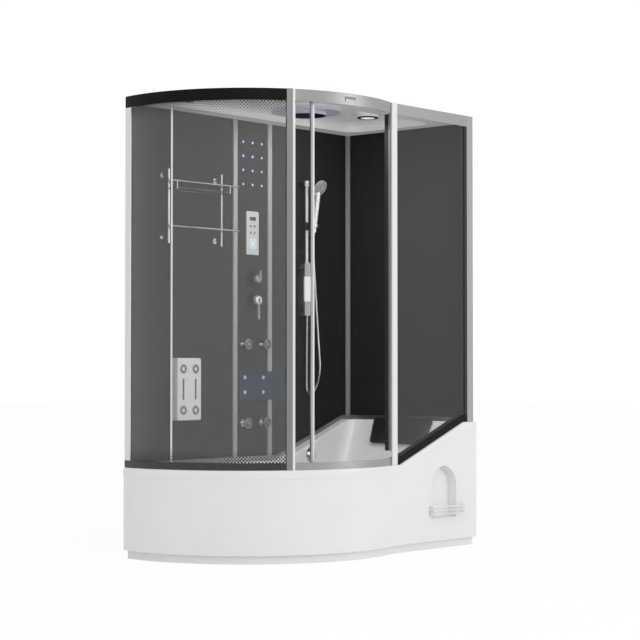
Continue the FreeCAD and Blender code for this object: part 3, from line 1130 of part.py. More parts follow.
def build_hand_shower():
    """Slide bar with its slider, the hand shower in its tilting socket, the outlet and the hose."""
    ends = ("slide_low", "slide_high - bracket_height")
    metal = [rod("slide_rod", "slide_radius", "slide_high - slide_low", "bar_x", "slide_y", "slide_low")]
    for i, z in enumerate(ends):
        metal.append(rod(f"bracket_{i}", "bracket_radius", "bracket_height", "bar_x", "slide_y", z))
        metal.append(rod(f"bracket_arm_{i}", "bracket_radius", "slide_reach", "bar_x", "wall_y",
                         f"{z} + bracket_height / 2", "out"))
    outlet = [rod("outlet_rose", "outlet_flange", "outlet_plate", "outlet_x", "wall_y", "outlet_z", "out"),
              rod("outlet_stub", "outlet_body", "outlet_reach + outlet_body", "outlet_x", "wall_y",
                  "outlet_z", "out"),
              rod("outlet_nipple", "nipple_radius", "nipple_length", "outlet_x", "wall_y - outlet_reach",
                  "outlet_z - nipple_length")]
    node(group("bar_set", [fuse("slide_whole", metal), fuse("outlet_whole", outlet)]), "slide_bar")

    level, low = "slider_z", "slider_z - neck_height / 2"
    side, cheek = "socket_radius + fork_play", "bracket_radius / 2"
    fork_y = f"socket_y - pivot_radius - {cheek}"
    neck_y = f"socket_y + {side} - slider_radius"
    sleeve = rod("slider_sleeve", "slider_radius", "slider_height", "bar_x", "slide_y",
                 f"{level} - slider_height / 2")
    neck = box("slider_neck", "neck_width", f"slide_y - ({neck_y})", "neck_height",
               "bar_x - neck_width / 2", neck_y, low)
    bore = rod("slider_bore", "slide_radius + slider_play", "slider_height + 2 * overrun", "bar_x",
               "slide_y", f"{level} - slider_height / 2 - overrun")
    space = rod("socket_space", side, "neck_height + 2 * overrun", "bar_x", "socket_y", f"{low} - overrun")
    arms = [box(name, cheek, "2 * socket_radius", "neck_height", x, fork_y, low)
            for name, x in (("fork_left", f"bar_x - ({side}) - {cheek}"), ("fork_right", f"bar_x + {side}"))]
    yoke = box("fork_yoke", f"2 * ({side} + {cheek})", cheek, "neck_height",
               f"bar_x - ({side}) - {cheek}", f"{fork_y} + 2 * socket_radius", low)
    hole = rod("pivot_hole", "pivot_radius + pivot_play", f"2 * ({side} + bracket_radius)",
               f"bar_x - ({side}) - bracket_radius", "socket_y", level, "x")
    solid_part = fuse("slider_solid", [sleeve, neck, yoke] + arms)
    node(cut("slider_whole", solid_part, [bore, space, hole]), "shower_slider")

    lean = "shower_lean_angle"
    pin = rod("socket_pin", "pivot_radius", f"2 * ({side} + {cheek})", f"bar_x - ({side}) - {cheek}",
              "socket_y", level, "x")
    foot = "-socket_height / 2 - nut_height"
    grip = turned("shower_grip", [
        ("0", foot), ("nut_radius", foot),
        ("nut_radius", "-sqrt(socket_radius ^ 2 - nut_radius ^ 2)", "socket_radius", 1),
        ("grip_radius", "sqrt(socket_radius ^ 2 - grip_radius ^ 2)"), ("grip_top", "grip_length"),
        ("0", "grip_length")])
    at(grip, "bar_x", "socket_y", level, lean, ALONG)
    head = turned("shower_head", [
        ("0", "-head_thick"), ("grip_top + face_recess", "-head_thick"), ("head_radius", "-face_recess * 2"),
        ("head_radius", "0"), ("face_radius", "0"), ("face_radius", "-face_recess"), ("0", "-face_recess")])
    at(head, "bar_x", f"socket_y - head_rise * sin({lean}) - head_thick / 2",
       f"{level} + head_rise * cos({lean})", "head_dip_angle", ALONG)
    node(fuse("handset_whole", [pin, grip, head]), "handset")

    # The hose hangs in the upright plane through the outlet and the hand shower.
    tail = val("socket_height / 2 + nut_height + seat_gap")
    turn = math.radians(val("shower_lean_angle"))
    end = V(val("bar_x"), val("socket_y") + math.sin(turn) * tail, val("slider_z") - math.cos(turn) * tail)
    top = V(val("outlet_x"), val("wall_y - outlet_reach"), val("outlet_z - nipple_length"))
    slider = V(val("bar_x"), val("wall_y"), val("slider_z"))
    points = [top] + [slider + V(*spot) for spot in HOSE_ROUTE] + [end]
    tube, radii, length = cord(points, val("hose_radius"))
    print("hose radii", [round(r) for r in radii], "length", round(length))
    print("hose volume share", round(tube.Volume / (math.pi * val("hose_radius") ** 2 * length), 4))
    node(feature("hose_shape", tube), "shower_hose")


# Corners of the hose from the outlet to the hand shower, from the slider and the wall; kept as chosen.
HOSE_ROUTE = (
    (24, -34, -408), (25.7, -29.1, -528), (26.6, -26.8, -688),
    (26.8, -26.0, -795), (26.9, -25.9, -859), (19.2, -47.5, -882.9),
    (8.1, -78.7, -884.1), (-8.5, -125.1, -840.2), (-18.8, -154.2, -791),
    (-21.8, -162.6, -733), (-17.4, -150.4, -649), (-12.6, -136.7, -529),
    (-5.7, -117.4, -360), (1, -98.6, -190), (0, -93.1, -92.1))


def cord(points, radius):
    """Tube along straight runs joined by arcs as large as the runs allow."""
    edges, radii, length, here = [], [], 0, points[0]
    for before, corner, after in zip(points, points[1:], points[2:]):
        back, ahead = before - corner, after - corner
        reach = 0.45 * min(back.Length, ahead.Length)
        half = back.getAngle(ahead) / 2
        bend = reach * math.tan(half)
        back.normalize()
        ahead.normalize()
        first, last = corner + back * reach, corner + ahead * reach
        apex = corner + (back + ahead).normalize() * (bend / math.sin(half) - bend)
        edges += [Part.makeLine(here, first), Part.Arc(first, apex, last).toShape()]
        length += (first - here).Length + bend * (math.pi - 2 * half)
        radii.append(bend)
        here = last
    edges.append(Part.makeLine(here, points[-1]))
    length += (points[-1] - here).Length
    ring = Part.Wire(Part.makeCircle(radius, points[0], points[1] - points[0]))
    return Part.Wire(edges).makePipeShell([ring], True, False), radii, length


build_tub()
build_skirt()
build_frame()
build_drain()
build_pillow()
build_walls()
build_rails()
build_door()
build_roof()
build_controls()
build_sprays()
build_valves()
build_massage()
build_rack()
build_hand_shower()
doc.recompute()

faults = [o.Name for o in doc.Objects if "Invalid" in o.State or "Error" in o.State]
faults += [n.Label for n in nodes if n.Shape.isNull() or not n.Shape.isValid() or not n.Shape.Solids]
if faults:
    raise RuntimeError("failed: " + ", ".join(faults))
os.makedirs("parts", exist_ok=True)
for item in nodes:
    item.Shape.exportStep(f"parts/{item.Label}.step")
print(len(nodes), "sub-parts")
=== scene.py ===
"""Dressed scene of a shower cabin with a bathtub.

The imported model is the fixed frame: every piece here is in metres in that frame, with +Z up, +X
along the tub towards the backrest and -Y towards the door.
"""
import logging
import math
from contextlib import contextmanager
from dataclasses import dataclass, replace
from enum import Enum
from typing import Callable, Iterator, Optional, Sequence

import bpy
from bpy.types import Material, Mesh, Node, NodeSocket, NodeTree, Object
from mathutils import Matrix, Vector

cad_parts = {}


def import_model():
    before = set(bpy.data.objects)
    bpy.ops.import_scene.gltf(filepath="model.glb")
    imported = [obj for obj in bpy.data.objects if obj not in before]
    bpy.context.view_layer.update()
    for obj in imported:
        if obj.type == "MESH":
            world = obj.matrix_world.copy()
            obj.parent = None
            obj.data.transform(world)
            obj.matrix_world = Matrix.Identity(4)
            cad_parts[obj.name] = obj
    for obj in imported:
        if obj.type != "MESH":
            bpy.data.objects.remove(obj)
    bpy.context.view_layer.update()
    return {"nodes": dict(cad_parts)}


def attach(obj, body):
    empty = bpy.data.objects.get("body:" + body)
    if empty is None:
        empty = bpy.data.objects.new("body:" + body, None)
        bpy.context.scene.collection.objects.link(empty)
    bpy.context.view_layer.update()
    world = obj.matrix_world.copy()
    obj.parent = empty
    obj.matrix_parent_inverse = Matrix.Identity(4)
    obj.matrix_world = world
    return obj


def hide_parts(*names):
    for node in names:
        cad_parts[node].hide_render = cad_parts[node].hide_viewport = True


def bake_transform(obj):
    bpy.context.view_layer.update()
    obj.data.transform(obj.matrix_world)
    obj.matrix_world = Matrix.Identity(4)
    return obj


log = logging.getLogger("shower_cabin")

Pair = tuple[float, float]
Point = tuple[float, float, float]
Colour = tuple[float, float, float, float]
Steps = tuple[Pair, ...]
Test = Callable[[Vector, Vector], bool]
# Axis of the bow that rails, panes and door follow.
BOW_CENTRE = Vector((-0.090, 0.310, 0.0))
# Front of the back walls, their foot and their height, and the front of the control panel.
WALL_FACE = 0.425
WALL_FOOT = 0.431
WALL_HEIGHT = 1.769
PANEL_FACE = WALL_FACE - 0.006
FULL_TURN = 2 * math.pi
ORIGIN = Vector((0.0, 0.0, 0.0))
FACING_DOOR = Matrix.Rotation(math.radians(90), 4, "X")
FACING_FLOOR = Matrix.Rotation(math.pi, 4, "X")
# Least angle of an edge that is bevelled, and most angle of one that is shaded smooth.
BEVEL_ANGLE = math.radians(40)
SMOOTH_ANGLE = math.radians(35)
WHITE: Colour = (1.0, 1.0, 1.0, 1.0)


def linear(code: str) -> Colour:
    """Turn an sRGB hex colour into linear values.

    Args:
        code: Six hex digits with a leading hash.

    Returns:
        Linear red, green and blue, and a full alpha.
    """
    parts = [int(code[i:i + 2], 16) / 255 for i in (1, 3, 5)]
    bent = [p / 12.92 if p <= 0.04045 else ((p + 0.055) / 1.055) ** 2.4 for p in parts]
    return (bent[0], bent[1], bent[2], 1.0)


def add_node(tree: NodeTree, kind: str, settings: Optional[dict] = None,
             links: Optional[dict] = None) -> Node:
    """Add a shader node with its settings and links.

    Args:
        tree: Node tree of a material or the world.
        kind: Blender's name of the node type.
        settings: Node attributes, or input names and indices with their values.
        links: Input names or indices with the output sockets that feed them.

    Returns:
        The new node.
    """
    node = tree.nodes.new(kind)
    for key, value in (settings or {}).items():
        if isinstance(key, str) and hasattr(node, key):
            setattr(node, key, value)
        else:
            node.inputs[key].default_value = value
    for key, source in (links or {}).items():
        tree.links.new(source, node.inputs[key])
    return node


def seen(tree: NodeTree) -> NodeSocket:
    """Add nodes that tell what the eye sees from what only lights the object.

    Args:
        tree: Node tree of a material or the world.

    Returns:
        Socket that is 1 where a surface is seen straight, in a reflection or through glass.
    """
    path = add_node(tree, "ShaderNodeLightPath")
    straight = add_node(tree, "ShaderNodeMath", {"operation": "MAXIMUM"}, {
        0: path.outputs["Is Camera Ray"], 1: path.outputs["Is Glossy Ray"]})
    return add_node(tree, "ShaderNodeMath", {"operation": "MAXIMUM"}, {
        0: straight.outputs[0], 1: path.outputs["Is Transmission Ray"]}).outputs[0]


class Surface:
    """Base of the finishes: a material that is built once, under its name."""

    name: str

    def make(self) -> Material:
        """Build the material, or find the one already built.

        Returns:
            The material.
        """
        material = bpy.data.materials.get(self.name)
        if material is None:
            material = bpy.data.materials.new(self.name)
            material.use_nodes = True
            tree = material.node_tree
            surface = self.shade(tree, tree.nodes["Principled BSDF"])
            tree.links.new(surface, tree.nodes["Material Output"].inputs["Surface"])
        return material

    def shade(self, tree: NodeTree, shader: Node) -> NodeSocket:
        """Set up a shader with this finish.

        Args:
            tree: The material's node tree.
            shader: A Principled BSDF in it.

        Returns:
            Socket with the finished shader.
        """
        raise NotImplementedError


class Pattern(Enum):
    """How a surface was made, as the eye sees it."""

    RIPPLE = "moulded or floated, with long faint waves"
    BRUSHED = "drawn, with fine lines along one axis"
    PEBBLE = "grained skin with small cells"
    SPECKLE = "sprayed or moulded with a fine grit"
    SPANGLE = "hot-dipped, with crystal patches"


@dataclass(frozen=True)
class Finish(Surface):
    """A plain surface with a pattern in its colour, gloss and relief.

    Attributes:
        name: Common name of the real material.
        base: sRGB hex colour.
        second: sRGB hex colour that the pattern mixes in.
        pattern: How the surface was made.
        size_mm: Real size of the pattern.
        relief_mm: Height of the pattern's bumps.
        roughness: Lowest and highest roughness of the pattern.
        metallic: 1 for bare metal.
        ior: Index of refraction, left alone on metal.
        glow: Strength of the surface's own light; on the roof and the white seal it is a painted glow.
        stretch: Scale of the pattern along X, Y and Z.
    """

    name: str
    base: str
    second: str
    pattern: Pattern
    size_mm: float
    relief_mm: float
    roughness: Pair
    metallic: float = 0.0
    ior: float = 1.5
    glow: float = 0.0
    stretch: Point = (1.0, 1.0, 1.0)

    def other(self, name: str, base: str, second: str, roughness: Optional[Pair] = None,
              **changes: object) -> "Finish":
        """Give the same surface in another colour.

        Args:
            name: Common name of the other material.
            base: Its sRGB hex colour.
            second: sRGB hex colour that its pattern mixes in.
            roughness: Its lowest and highest roughness, where they differ.
            changes: Further fields that differ.

        Returns:
            The other finish.
        """
        return replace(self, name=name, base=base, second=second, roughness=roughness or self.roughness,
                       **changes)

    def shade(self, tree: NodeTree, shader: Node) -> NodeSocket:
        """Set up a shader with this finish.

        Args:
            tree: The material's node tree.
            shader: A Principled BSDF in it.

        Returns:
            The shader's own socket.
        """
        shader.inputs["Metallic"].default_value = self.metallic
        if not self.metallic:
            shader.inputs["IOR"].default_value = self.ior
        if self.glow:
            shader.inputs["Emission Color"].default_value = linear(self.base)
            shader.inputs["Emission Strength"].default_value = self.glow
        height = self.relief(tree)
        colour = add_node(tree, "ShaderNodeMix", {"data_type": "RGBA", 6: linear(self.base),
                                                  7: linear(self.second)}, {0: height})
        rough = add_node(tree, "ShaderNodeMapRange", {3: self.roughness[0], 4: self.roughness[1]},
                         {0: height})
        bump = add_node(tree, "ShaderNodeBump", {"Strength": 1.0, "Distance": self.relief_mm / 1000},
                        {"Height": height})
        for socket, source in (("Base Color", colour.outputs[2]), ("Roughness", rough.outputs[0]),
                               ("Normal", bump.outputs[0])):
            tree.links.new(source, shader.inputs[socket])
        return shader.outputs[0]

    def relief(self, tree: NodeTree) -> NodeSocket:
        """Add the pattern's texture.

        Args:
            tree: The material's node tree.

        Returns:
            Socket with the pattern's height from 0 to 1.
        """
        place = add_node(tree, "ShaderNodeTexCoord")
        turned = add_node(tree, "ShaderNodeMapping", {"Scale": self.stretch},
                          {"Vector": place.outputs["Object"]})
        scale = 1000 / self.size_mm
        if self.pattern in (Pattern.PEBBLE, Pattern.SPANGLE):
            cells = add_node(tree, "ShaderNodeTexVoronoi", {"Scale": scale}, {"Vector": turned.outputs[0]})
            return cells.outputs["Distance" if self.pattern is Pattern.PEBBLE else "Color"]
        detail = 1.0 if self.pattern is Pattern.RIPPLE else 4.0
        noise = add_node(tree, "ShaderNodeTexNoise", {"Scale": scale, "Detail": detail},
                         {"Vector": turned.outputs[0]})
        return noise.outputs[0]


# Cast acrylic, vacuum formed: deep gloss with the faint long waves of a drawn sheet.
CAST_ACRYLIC = Finish(
    "cast_acrylic_white", "#e9e9e8", "#e3e3e2", Pattern.RIPPLE, 260, 0.5, (0.05, 0.09), ior=1.49)
# Formed acrylic of the roof: the same sheet, less polished, with a painted glow that lightens its shaded
# underside.
ROOF_ACRYLIC = Finish(
    "formed_acrylic_painted_glow", "#dcdddc", "#d3d4d4", Pattern.RIPPLE, 180, 0.4, (0.18, 0.28), ior=1.49,
    glow=0.18)
# Black acrylic wall panel: matt coated, with the faint long waves of a cast sheet and hardly any gloss.
BLACK_WALL = Finish(
    "matt_black_acrylic_panel", "#2a2a2a", "#2e2e2e", Pattern.RIPPLE, 320, 0.05, (0.4, 0.5), ior=1.03)
# Extruded aluminium, satin anodised: fine drawing lines along the profile, widened to show.
SATIN_ALUMINIUM = Finish(
    "satin_anodised_aluminium", "#a9aaaa", "#989998", Pattern.BRUSHED, 3.0, 0.01, (0.30, 0.42), 1.0,
    stretch=(1, 1, 0.01))
# The same aluminium in a darker grey: painted shade on the left door post's side towards the fixed pane.
SHADED_POST_ALUMINIUM = SATIN_ALUMINIUM.other("aluminium_painted_shade", "#8c8d8d", "#7f8080")
# The same aluminium rolled: its drawing lines run round the bow.
RAIL_ALUMINIUM = SATIN_ALUMINIUM.other(
    "rolled_anodised_aluminium", "#a2a3a3", "#929393", stretch=(0.02, 0.02, 1))
# Powder-coated aluminium in white: even with a faint orange peel.
WHITE_COAT = Finish(
    "white_powder_coat", "#e4e5e4", "#dcdddc", Pattern.SPECKLE, 1.6, 0.02, (0.28, 0.36))
# The same coat in silver grey: the wall profiles.
SILVER_COAT = WHITE_COAT.other("silver_powder_coat", "#989999", "#8f9090", (0.32, 0.42))
# The same coat in dark grey: the inner side of the right door post.
DARK_COAT = WHITE_COAT.other("dark_grey_powder_coat", "#2e2e2e", "#343434", (0.4, 0.5), ior=1.3)
# The same coat in black: satin with a stronger orange peel.
BLACK_COAT = WHITE_COAT.other(
    "black_powder_coat", "#080808", "#0d0d0c", (0.34, 0.44), relief_mm=0.03, ior=1.2)
# The black coat, glossier: the lower rail of the fixed pane.
GLOSS_BLACK = BLACK_COAT.other("black_gloss_coat", "#0c0c0b", "#121211", (0.2, 0.28), ior=1.6)
# Soft PVC seal, white and a little translucent; the light through it is a painted glow.
WHITE_SEAL = Finish(
    "white_pvc_seal", "#f0f0ef", "#ebebea", Pattern.SPECKLE, 2.0, 0.02, (0.35, 0.45), glow=0.2)
# Soft PVC seal, grey and opaque.
GREY_SEAL = WHITE_SEAL.other("grey_pvc_seal", "#73736f", "#7c7c78", (0.4, 0.5), glow=0.0)
# Chrome plate on brass: near mirror, with a trace of water marks.
CHROME = Finish("chrome_plate", "#d0d2d4", "#c4c6c9", Pattern.RIPPLE, 24, 0.01, (0.04, 0.10), 1.0)
# Satin chrome of the jets, the lumbar nozzles and the bare plate: soft, darker sheen.
SATIN_CHROME = CHROME.other("satin_chrome_plate", "#85878a", "#797b7e", (0.28, 0.38))
# Chrome of the valve flanges, its colour darkened as a painted reflection of the dark cabin, with sharp
# lights.
DARK_REFLECTION_CHROME = CHROME.other("chrome_painted_dark_reflection", "#37393b", "#303234", (0.12, 0.2))
# Greyer chrome of the valves' knob and lever: half matt.
GREY_CHROME = CHROME.other("grey_chrome_plate", "#b6b7b8", "#abacad", (0.18, 0.26), metallic=0.6)
# Chromed tube and shower body, wiped dull: an even pale sheen.
CHROME_TUBE = Finish(
    "chromed_tube", "#e4e5e6", "#dbdcdd", Pattern.BRUSHED, 3.0, 0.004, (0.24, 0.32), 0.6,
    stretch=(1, 1, 0.02))
# Hot-dip galvanised tube: crystal patches some 8 mm wide.
GALVANISED = Finish(
    "galvanised_steel", "#9b9d9e", "#b4b6b7", Pattern.SPANGLE, 8, 0.01, (0.35, 0.55), 1.0)
# Moulded ABS in white: soft gloss with a faint grit.
WHITE_ABS = Finish(
    "white_moulded_abs", "#e6e8e8", "#dee0e1", Pattern.SPECKLE, 2.2, 0.02, (0.18, 0.28), ior=1.54)
# Moulded ABS in light grey: the control panel.
GREY_ABS = WHITE_ABS.other("light_grey_moulded_abs", "#bcbebe", "#b4b6b6", (0.22, 0.32))
# Silicone in dark grey, dull with a fine grit: key caps; the same grey is painted shade in the massage unit's
# slots.
GREY_KEY = Finish(
    "dark_grey_silicone_and_painted_shade", "#55595d", "#5e6266", Pattern.SPECKLE, 1.5, 0.01, (0.45, 0.55))
# Silicone in mid grey: the hand shower's plate; the same grey is painted shade in the grooves round the
# massage unit's discs.
GREY_RING = GREY_KEY.other("mid_grey_silicone_and_painted_shade", "#858685", "#7b7c7b", (0.4, 0.5))
# Translucent polycarbonate pad, pale grey blue.
PALE_KEY = Finish(
    "pale_polycarbonate_key", "#c9d0d6", "#d0d7dc", Pattern.SPECKLE, 1.5, 0.01, (0.2, 0.3), ior=1.58)
# Lit blue marks of the pad.
BLUE_MARK = PALE_KEY.other(
    "lit_blue_polycarbonate", "#7ea6c9", "#89b0d0", (0.25, 0.35), size_mm=1.0, glow=0.12)
# Lit nozzle insert, pale blue.
LIT_NOZZLE = PALE_KEY.other("lit_polycarbonate_nozzle", "#a9b4d8", "#bcc5e2", glow=0.18)
# Dark-blue acrylic lumbar plate: glossy, with faint waves.
BLUE_PLATE = Finish(
    "dark_blue_acrylic_plate", "#243342", "#29394a", Pattern.RIPPLE, 90, 0.05, (0.10, 0.16), ior=1.35)
# Integral-skin polyurethane foam: satin black with a pebble skin of 1.5 mm, drawn at 3 mm to show.
SKIN_FOAM = Finish(
    "integral_skin_foam", "#262627", "#1d1d1e", Pattern.PEBBLE, 3.0, 0.12, (0.48, 0.62))
# EPDM rubber gasket: dull black.
RUBBER = Finish("epdm_rubber", "#121212", "#1a1a1a", Pattern.SPECKLE, 1.2, 0.03, (0.6, 0.75))
# Moulded nylon: black, slightly glossy.
NYLON = Finish(
    "black_moulded_nylon", "#19191b", "#222224", Pattern.SPECKLE, 1.5, 0.02, (0.35, 0.45), ior=1.53)
# PVC hose with a silver sleeve: smooth and bright.
SILVER_HOSE = Finish(
    "silver_pvc_hose", "#c2c4c6", "#b2b4b7", Pattern.SPECKLE, 4, 0.02, (0.18, 0.28), 0.85)
# Moulded face of the jets: dark grey, satin.
SPRAY_FACE = Finish(
    "dark_grey_spray_face", "#3a3d40", "#44474a", Pattern.SPECKLE, 1.5, 0.02, (0.35, 0.45))
# Navy plate of the rain head and bezels of the wall nozzles: matt.
NAVY_FACE = Finish(
    "navy_spray_plate", "#141f38", "#1a2641", Pattern.SPECKLE, 3, 0.02, (0.5, 0.6), ior=1.0)
# Pale-blue light ring round the rain head.
BLUE_RING = Finish(
    "pale_blue_light_ring", "#c2c4d0", "#cacbd6", Pattern.RIPPLE, 60, 0.05, (0.25, 0.35), glow=0.1)
# Frosted lens of the ceiling light.
FROST_LENS = Finish(
    "frosted_lens", "#e2e3e3", "#ebebeb", Pattern.SPECKLE, 2.5, 0.05, (0.35, 0.5), glow=0.6)
# Dark-red display window: glossy.
RED_WINDOW = Finish(
    "dark_red_display_window", "#3c0f11", "#451416", Pattern.RIPPLE, 30, 0.02, (0.06, 0.1))
# Lit segments of the display.
RED_LIGHT = Finish(
    "lit_red_segment", "#c23a30", "#cc463a", Pattern.SPECKLE, 1.0, 0.01, (0.3, 0.4), glow=0.4)


@dataclass(frozen=True)
class PaneGlass(Surface):
    """Toughened float glass: pale tint, mirror smooth, and clear to lamp light.

    Attributes:
        name: Common name of the glass.
        ior: Index of refraction, low on a coated pane that reflects little.
        painted_sheen: Strength of the faint even glow painted on the pane in place of its reflections.
        dots: Whether a printed band of black dots fades in from the rails.
        tint: sRGB hex colour of what passes.
        ink: sRGB hex colour of the print.
        ink_roughness: Roughness of the print.
        wave_mm: Real length of the float waves.
        roughest: Highest roughness of the waves.
        bow_radius: Radius at which the dots are unrolled.
        dot_pitch_mm: Step from a dot to the next gap.
        low_edge: Height where the lower band of dots starts.
        high_edge: Height where the upper band ends.
        band: Height over which the dots fade.
        dot_limits: Height of the dots' wave that is printed, at the rail and one band away from it.
    """

    name: str
    ior: float
    painted_sheen: float = 0.0
    dots: bool = False
    tint: str = "#f4f4f4"
    ink: str = "#101010"
    ink_roughness: float = 0.4
    wave_mm: float = 400.0
    roughest: float = 0.012
    bow_radius: float = 0.737
    dot_pitch_mm: float = 8.0
    low_edge: float = 0.465
    high_edge: float = 2.145
    band: float = 0.040
    dot_limits: Pair = (0.02, 0.62)

    def shade(self, tree: NodeTree, shader: Node) -> NodeSocket:
        """Set up the glass, and its print if it has one.

        Args:
            tree: The material's node tree.
            shader: A Principled BSDF in it.

        Returns:
            Socket with the finished shader.
        """
        shader.inputs["Base Color"].default_value = linear(self.tint)
        shader.inputs["Transmission Weight"].default_value = 1.0
        shader.inputs["IOR"].default_value = self.ior
        # A faint even glow is painted on the pane in place of its reflections.
        if self.painted_sheen:
            shader.inputs["Emission Color"].default_value = WHITE
            shader.inputs["Emission Strength"].default_value = self.painted_sheen
        place = add_node(tree, "ShaderNodeTexCoord").outputs["Object"]
        wave = add_node(tree, "ShaderNodeTexNoise", {"Scale": 1000 / self.wave_mm, "Detail": 1.0},
                        {"Vector": place})
        rough = add_node(tree, "ShaderNodeMapRange", {3: 0.0, 4: self.roughest}, {0: wave.outputs[0]})
        tree.links.new(rough.outputs[0], shader.inputs["Roughness"])
        path = add_node(tree, "ShaderNodeLightPath")
        clear = add_node(tree, "ShaderNodeBsdfTransparent", {"Color": linear(self.tint)})
        glass = add_node(tree, "ShaderNodeMixShader", None, {
            0: path.outputs["Is Shadow Ray"], 1: shader.outputs[0], 2: clear.outputs[0]})
        if not self.dots:
            return glass.outputs[0]
        ink = add_node(tree, "ShaderNodeBsdfPrincipled", {
            "Base Color": linear(self.ink), "Roughness": self.ink_roughness})
        return add_node(tree, "ShaderNodeMixShader", None, {
            0: self.dot_mask(tree, place), 1: glass.outputs[0], 2: ink.outputs[0]}).outputs[0]

    def dot_mask(self, tree: NodeTree, place: NodeSocket) -> NodeSocket:
        """Add the printed dots, unrolled round the bow.

        Args:
            tree: The material's node tree.
            place: Socket with Object coordinates.

        Returns:
            Socket that is 1 on a dot and 0 elsewhere.
        """
        arm = add_node(tree, "ShaderNodeVectorMath", {"operation": "SUBTRACT", 1: BOW_CENTRE}, {0: place})
        x, y, z = add_node(tree, "ShaderNodeSeparateXYZ", None, {0: arm.outputs[0]}).outputs
        turn = add_node(tree, "ShaderNodeMath", {"operation": "ARCTAN2"}, {0: y, 1: x}).outputs[0]
        step = math.pi / (self.dot_pitch_mm / 1000)
        waves = []
        for along, scale in ((turn, self.bow_radius * step), (z, step)):
            phase = add_node(tree, "ShaderNodeMath", {"operation": "MULTIPLY", 1: scale}, {0: along})
            waves.append(add_node(tree, "ShaderNodeMath", {"operation": "SINE"}, {0: phase.outputs[0]}))
        dots = add_node(tree, "ShaderNodeMath", {"operation": "MULTIPLY"}, {
            0: waves[0].outputs[0], 1: waves[1].outputs[0]})
        at_rail, faded = self.dot_limits
        low, high = (add_node(tree, "ShaderNodeMapRange", {
            "clamp": False, 1: edge, 2: edge + band, 3: at_rail, 4: faded}, {0: z})
            for edge, band in ((self.low_edge, self.band), (self.high_edge, -self.band)))
        limit = add_node(tree, "ShaderNodeMath", {"operation": "MINIMUM"}, {
            0: low.outputs[0], 1: high.outputs[0]})
        return add_node(tree, "ShaderNodeMath", {"operation": "GREATER_THAN"}, {
            0: dots.outputs[0], 1: limit.outputs[0]}).outputs[0]


# Clear pane of the shelf, and the fixed pane with its printed dots.
CLEAR_GLASS = PaneGlass("clear_toughened_glass", 1.5)
PRINTED_GLASS = PaneGlass("printed_toughened_glass", 1.5, dots=True)
# Coated panes of the door and the right side: they reflect little, and a faint even glow is painted on them
# in place of their reflections.
DOOR_GLASS = PaneGlass("coated_toughened_glass", 1.03, painted_sheen=0.006)
SIDE_GLASS = PaneGlass("coated_side_glass", 1.03, painted_sheen=0.025)


class Across(Enum):
    """What the limits of a banded finish are measured along."""

    LENGTH = "X of the cabin"
    DEPTH = "Y of the cabin"
    HEIGHT = "Z of the cabin"
    BOW = "distance from the bow's axis"
    TURN = "angle round the bow's axis"


@dataclass(frozen=True)
class BandFinish(Surface):
    """Several finishes on one node, parted by limits.

    Attributes:
        name: Name of the material.
        finishes: Finishes in rising order of the measure.
        limits: Where each finish gives way to the next, in metres or radians.
        across: What is measured.
    """

    name: str
    finishes: tuple[Finish, ...]
    limits: tuple[float, ...]
    across: Across

    def shade(self, tree: NodeTree, shader: Node) -> NodeSocket:
        """Set up one shader for each finish and mix them by the limits.

        Args:
            tree: The material's node tree.
            shader: A Principled BSDF in it, for the first finish.

        Returns:
            Socket with the finished shader.
        """
        last = self.finishes[0].shade(tree, shader)
        measure = self.measure(tree)
        for limit, finish in zip(self.limits, self.finishes[1:]):
            other = finish.shade(tree, add_node(tree, "ShaderNodeBsdfPrincipled"))
            side = add_node(tree, "ShaderNodeMath", {"operation": "GREATER_THAN", 1: limit}, {0: measure})
            last = add_node(tree, "ShaderNodeMixShader", None, {
                0: side.outputs[0], 1: last, 2: other}).outputs[0]
        return last

    def measure(self, tree: NodeTree) -> NodeSocket:
        """Add the nodes that measure where a point lies.

        Args:
            tree: The material's node tree.

        Returns:
            Socket with the measure.
        """
        place = add_node(tree, "ShaderNodeTexCoord").outputs["Object"]
        if self.across in (Across.BOW, Across.TURN):
            place = add_node(tree, "ShaderNodeVectorMath", {"operation": "SUBTRACT", 1: BOW_CENTRE},
                             {0: place}).outputs[0]
        if self.across is Across.BOW:
            flat = add_node(tree, "ShaderNodeVectorMath", {"operation": "MULTIPLY", 1: (1, 1, 0)},
                            {0: place})
            return add_node(tree, "ShaderNodeVectorMath", {"operation": "LENGTH"},
                            {0: flat.outputs[0]}).outputs["Value"]
        x, y, z = add_node(tree, "ShaderNodeSeparateXYZ", None, {0: place}).outputs
        if self.across is Across.TURN:
            return add_node(tree, "ShaderNodeMath", {"operation": "ARCTAN2"}, {0: y, 1: x}).outputs[0]
        return {Across.LENGTH: x, Across.DEPTH: y, Across.HEIGHT: z}[self.across]


# Left door post: painted shade and highlight across it, grey aluminium towards the fixed pane and white
# towards the doorway.
LEFT_POST_PAINTED_SHADING = BandFinish(
    "door_post_left_painted_shading", (SHADED_POST_ALUMINIUM, WHITE_COAT), (math.radians(-122.1),), Across.TURN)
# Right door post: white in front, dark grey inside.
RIGHT_POST_COATS = BandFinish(
    "door_post_right_coats", (WHITE_COAT, DARK_COAT), (-0.3805,), Across.DEPTH)
# Wall posts: the left one black inside and white outside, the right one aluminium.
WALL_POST_COATS = BandFinish(
    "wall_post_coats", (BLACK_COAT, WHITE_COAT, SATIN_ALUMINIUM), (0.737, 0.9), Across.BOW)
# Seals of the panes: grey PVC on the left, black rubber on the right.
PANE_SEALS = BandFinish("pane_seals", (GREY_SEAL, RUBBER), (0.158,), Across.LENGTH)
# Door profiles: a white seal with its painted glow on the trailing edge, aluminium on the leading one.
DOOR_PROFILE_COATS = BandFinish(
    "door_profile_coats", (WHITE_SEAL, SATIN_ALUMINIUM), (-0.6,), Across.LENGTH)
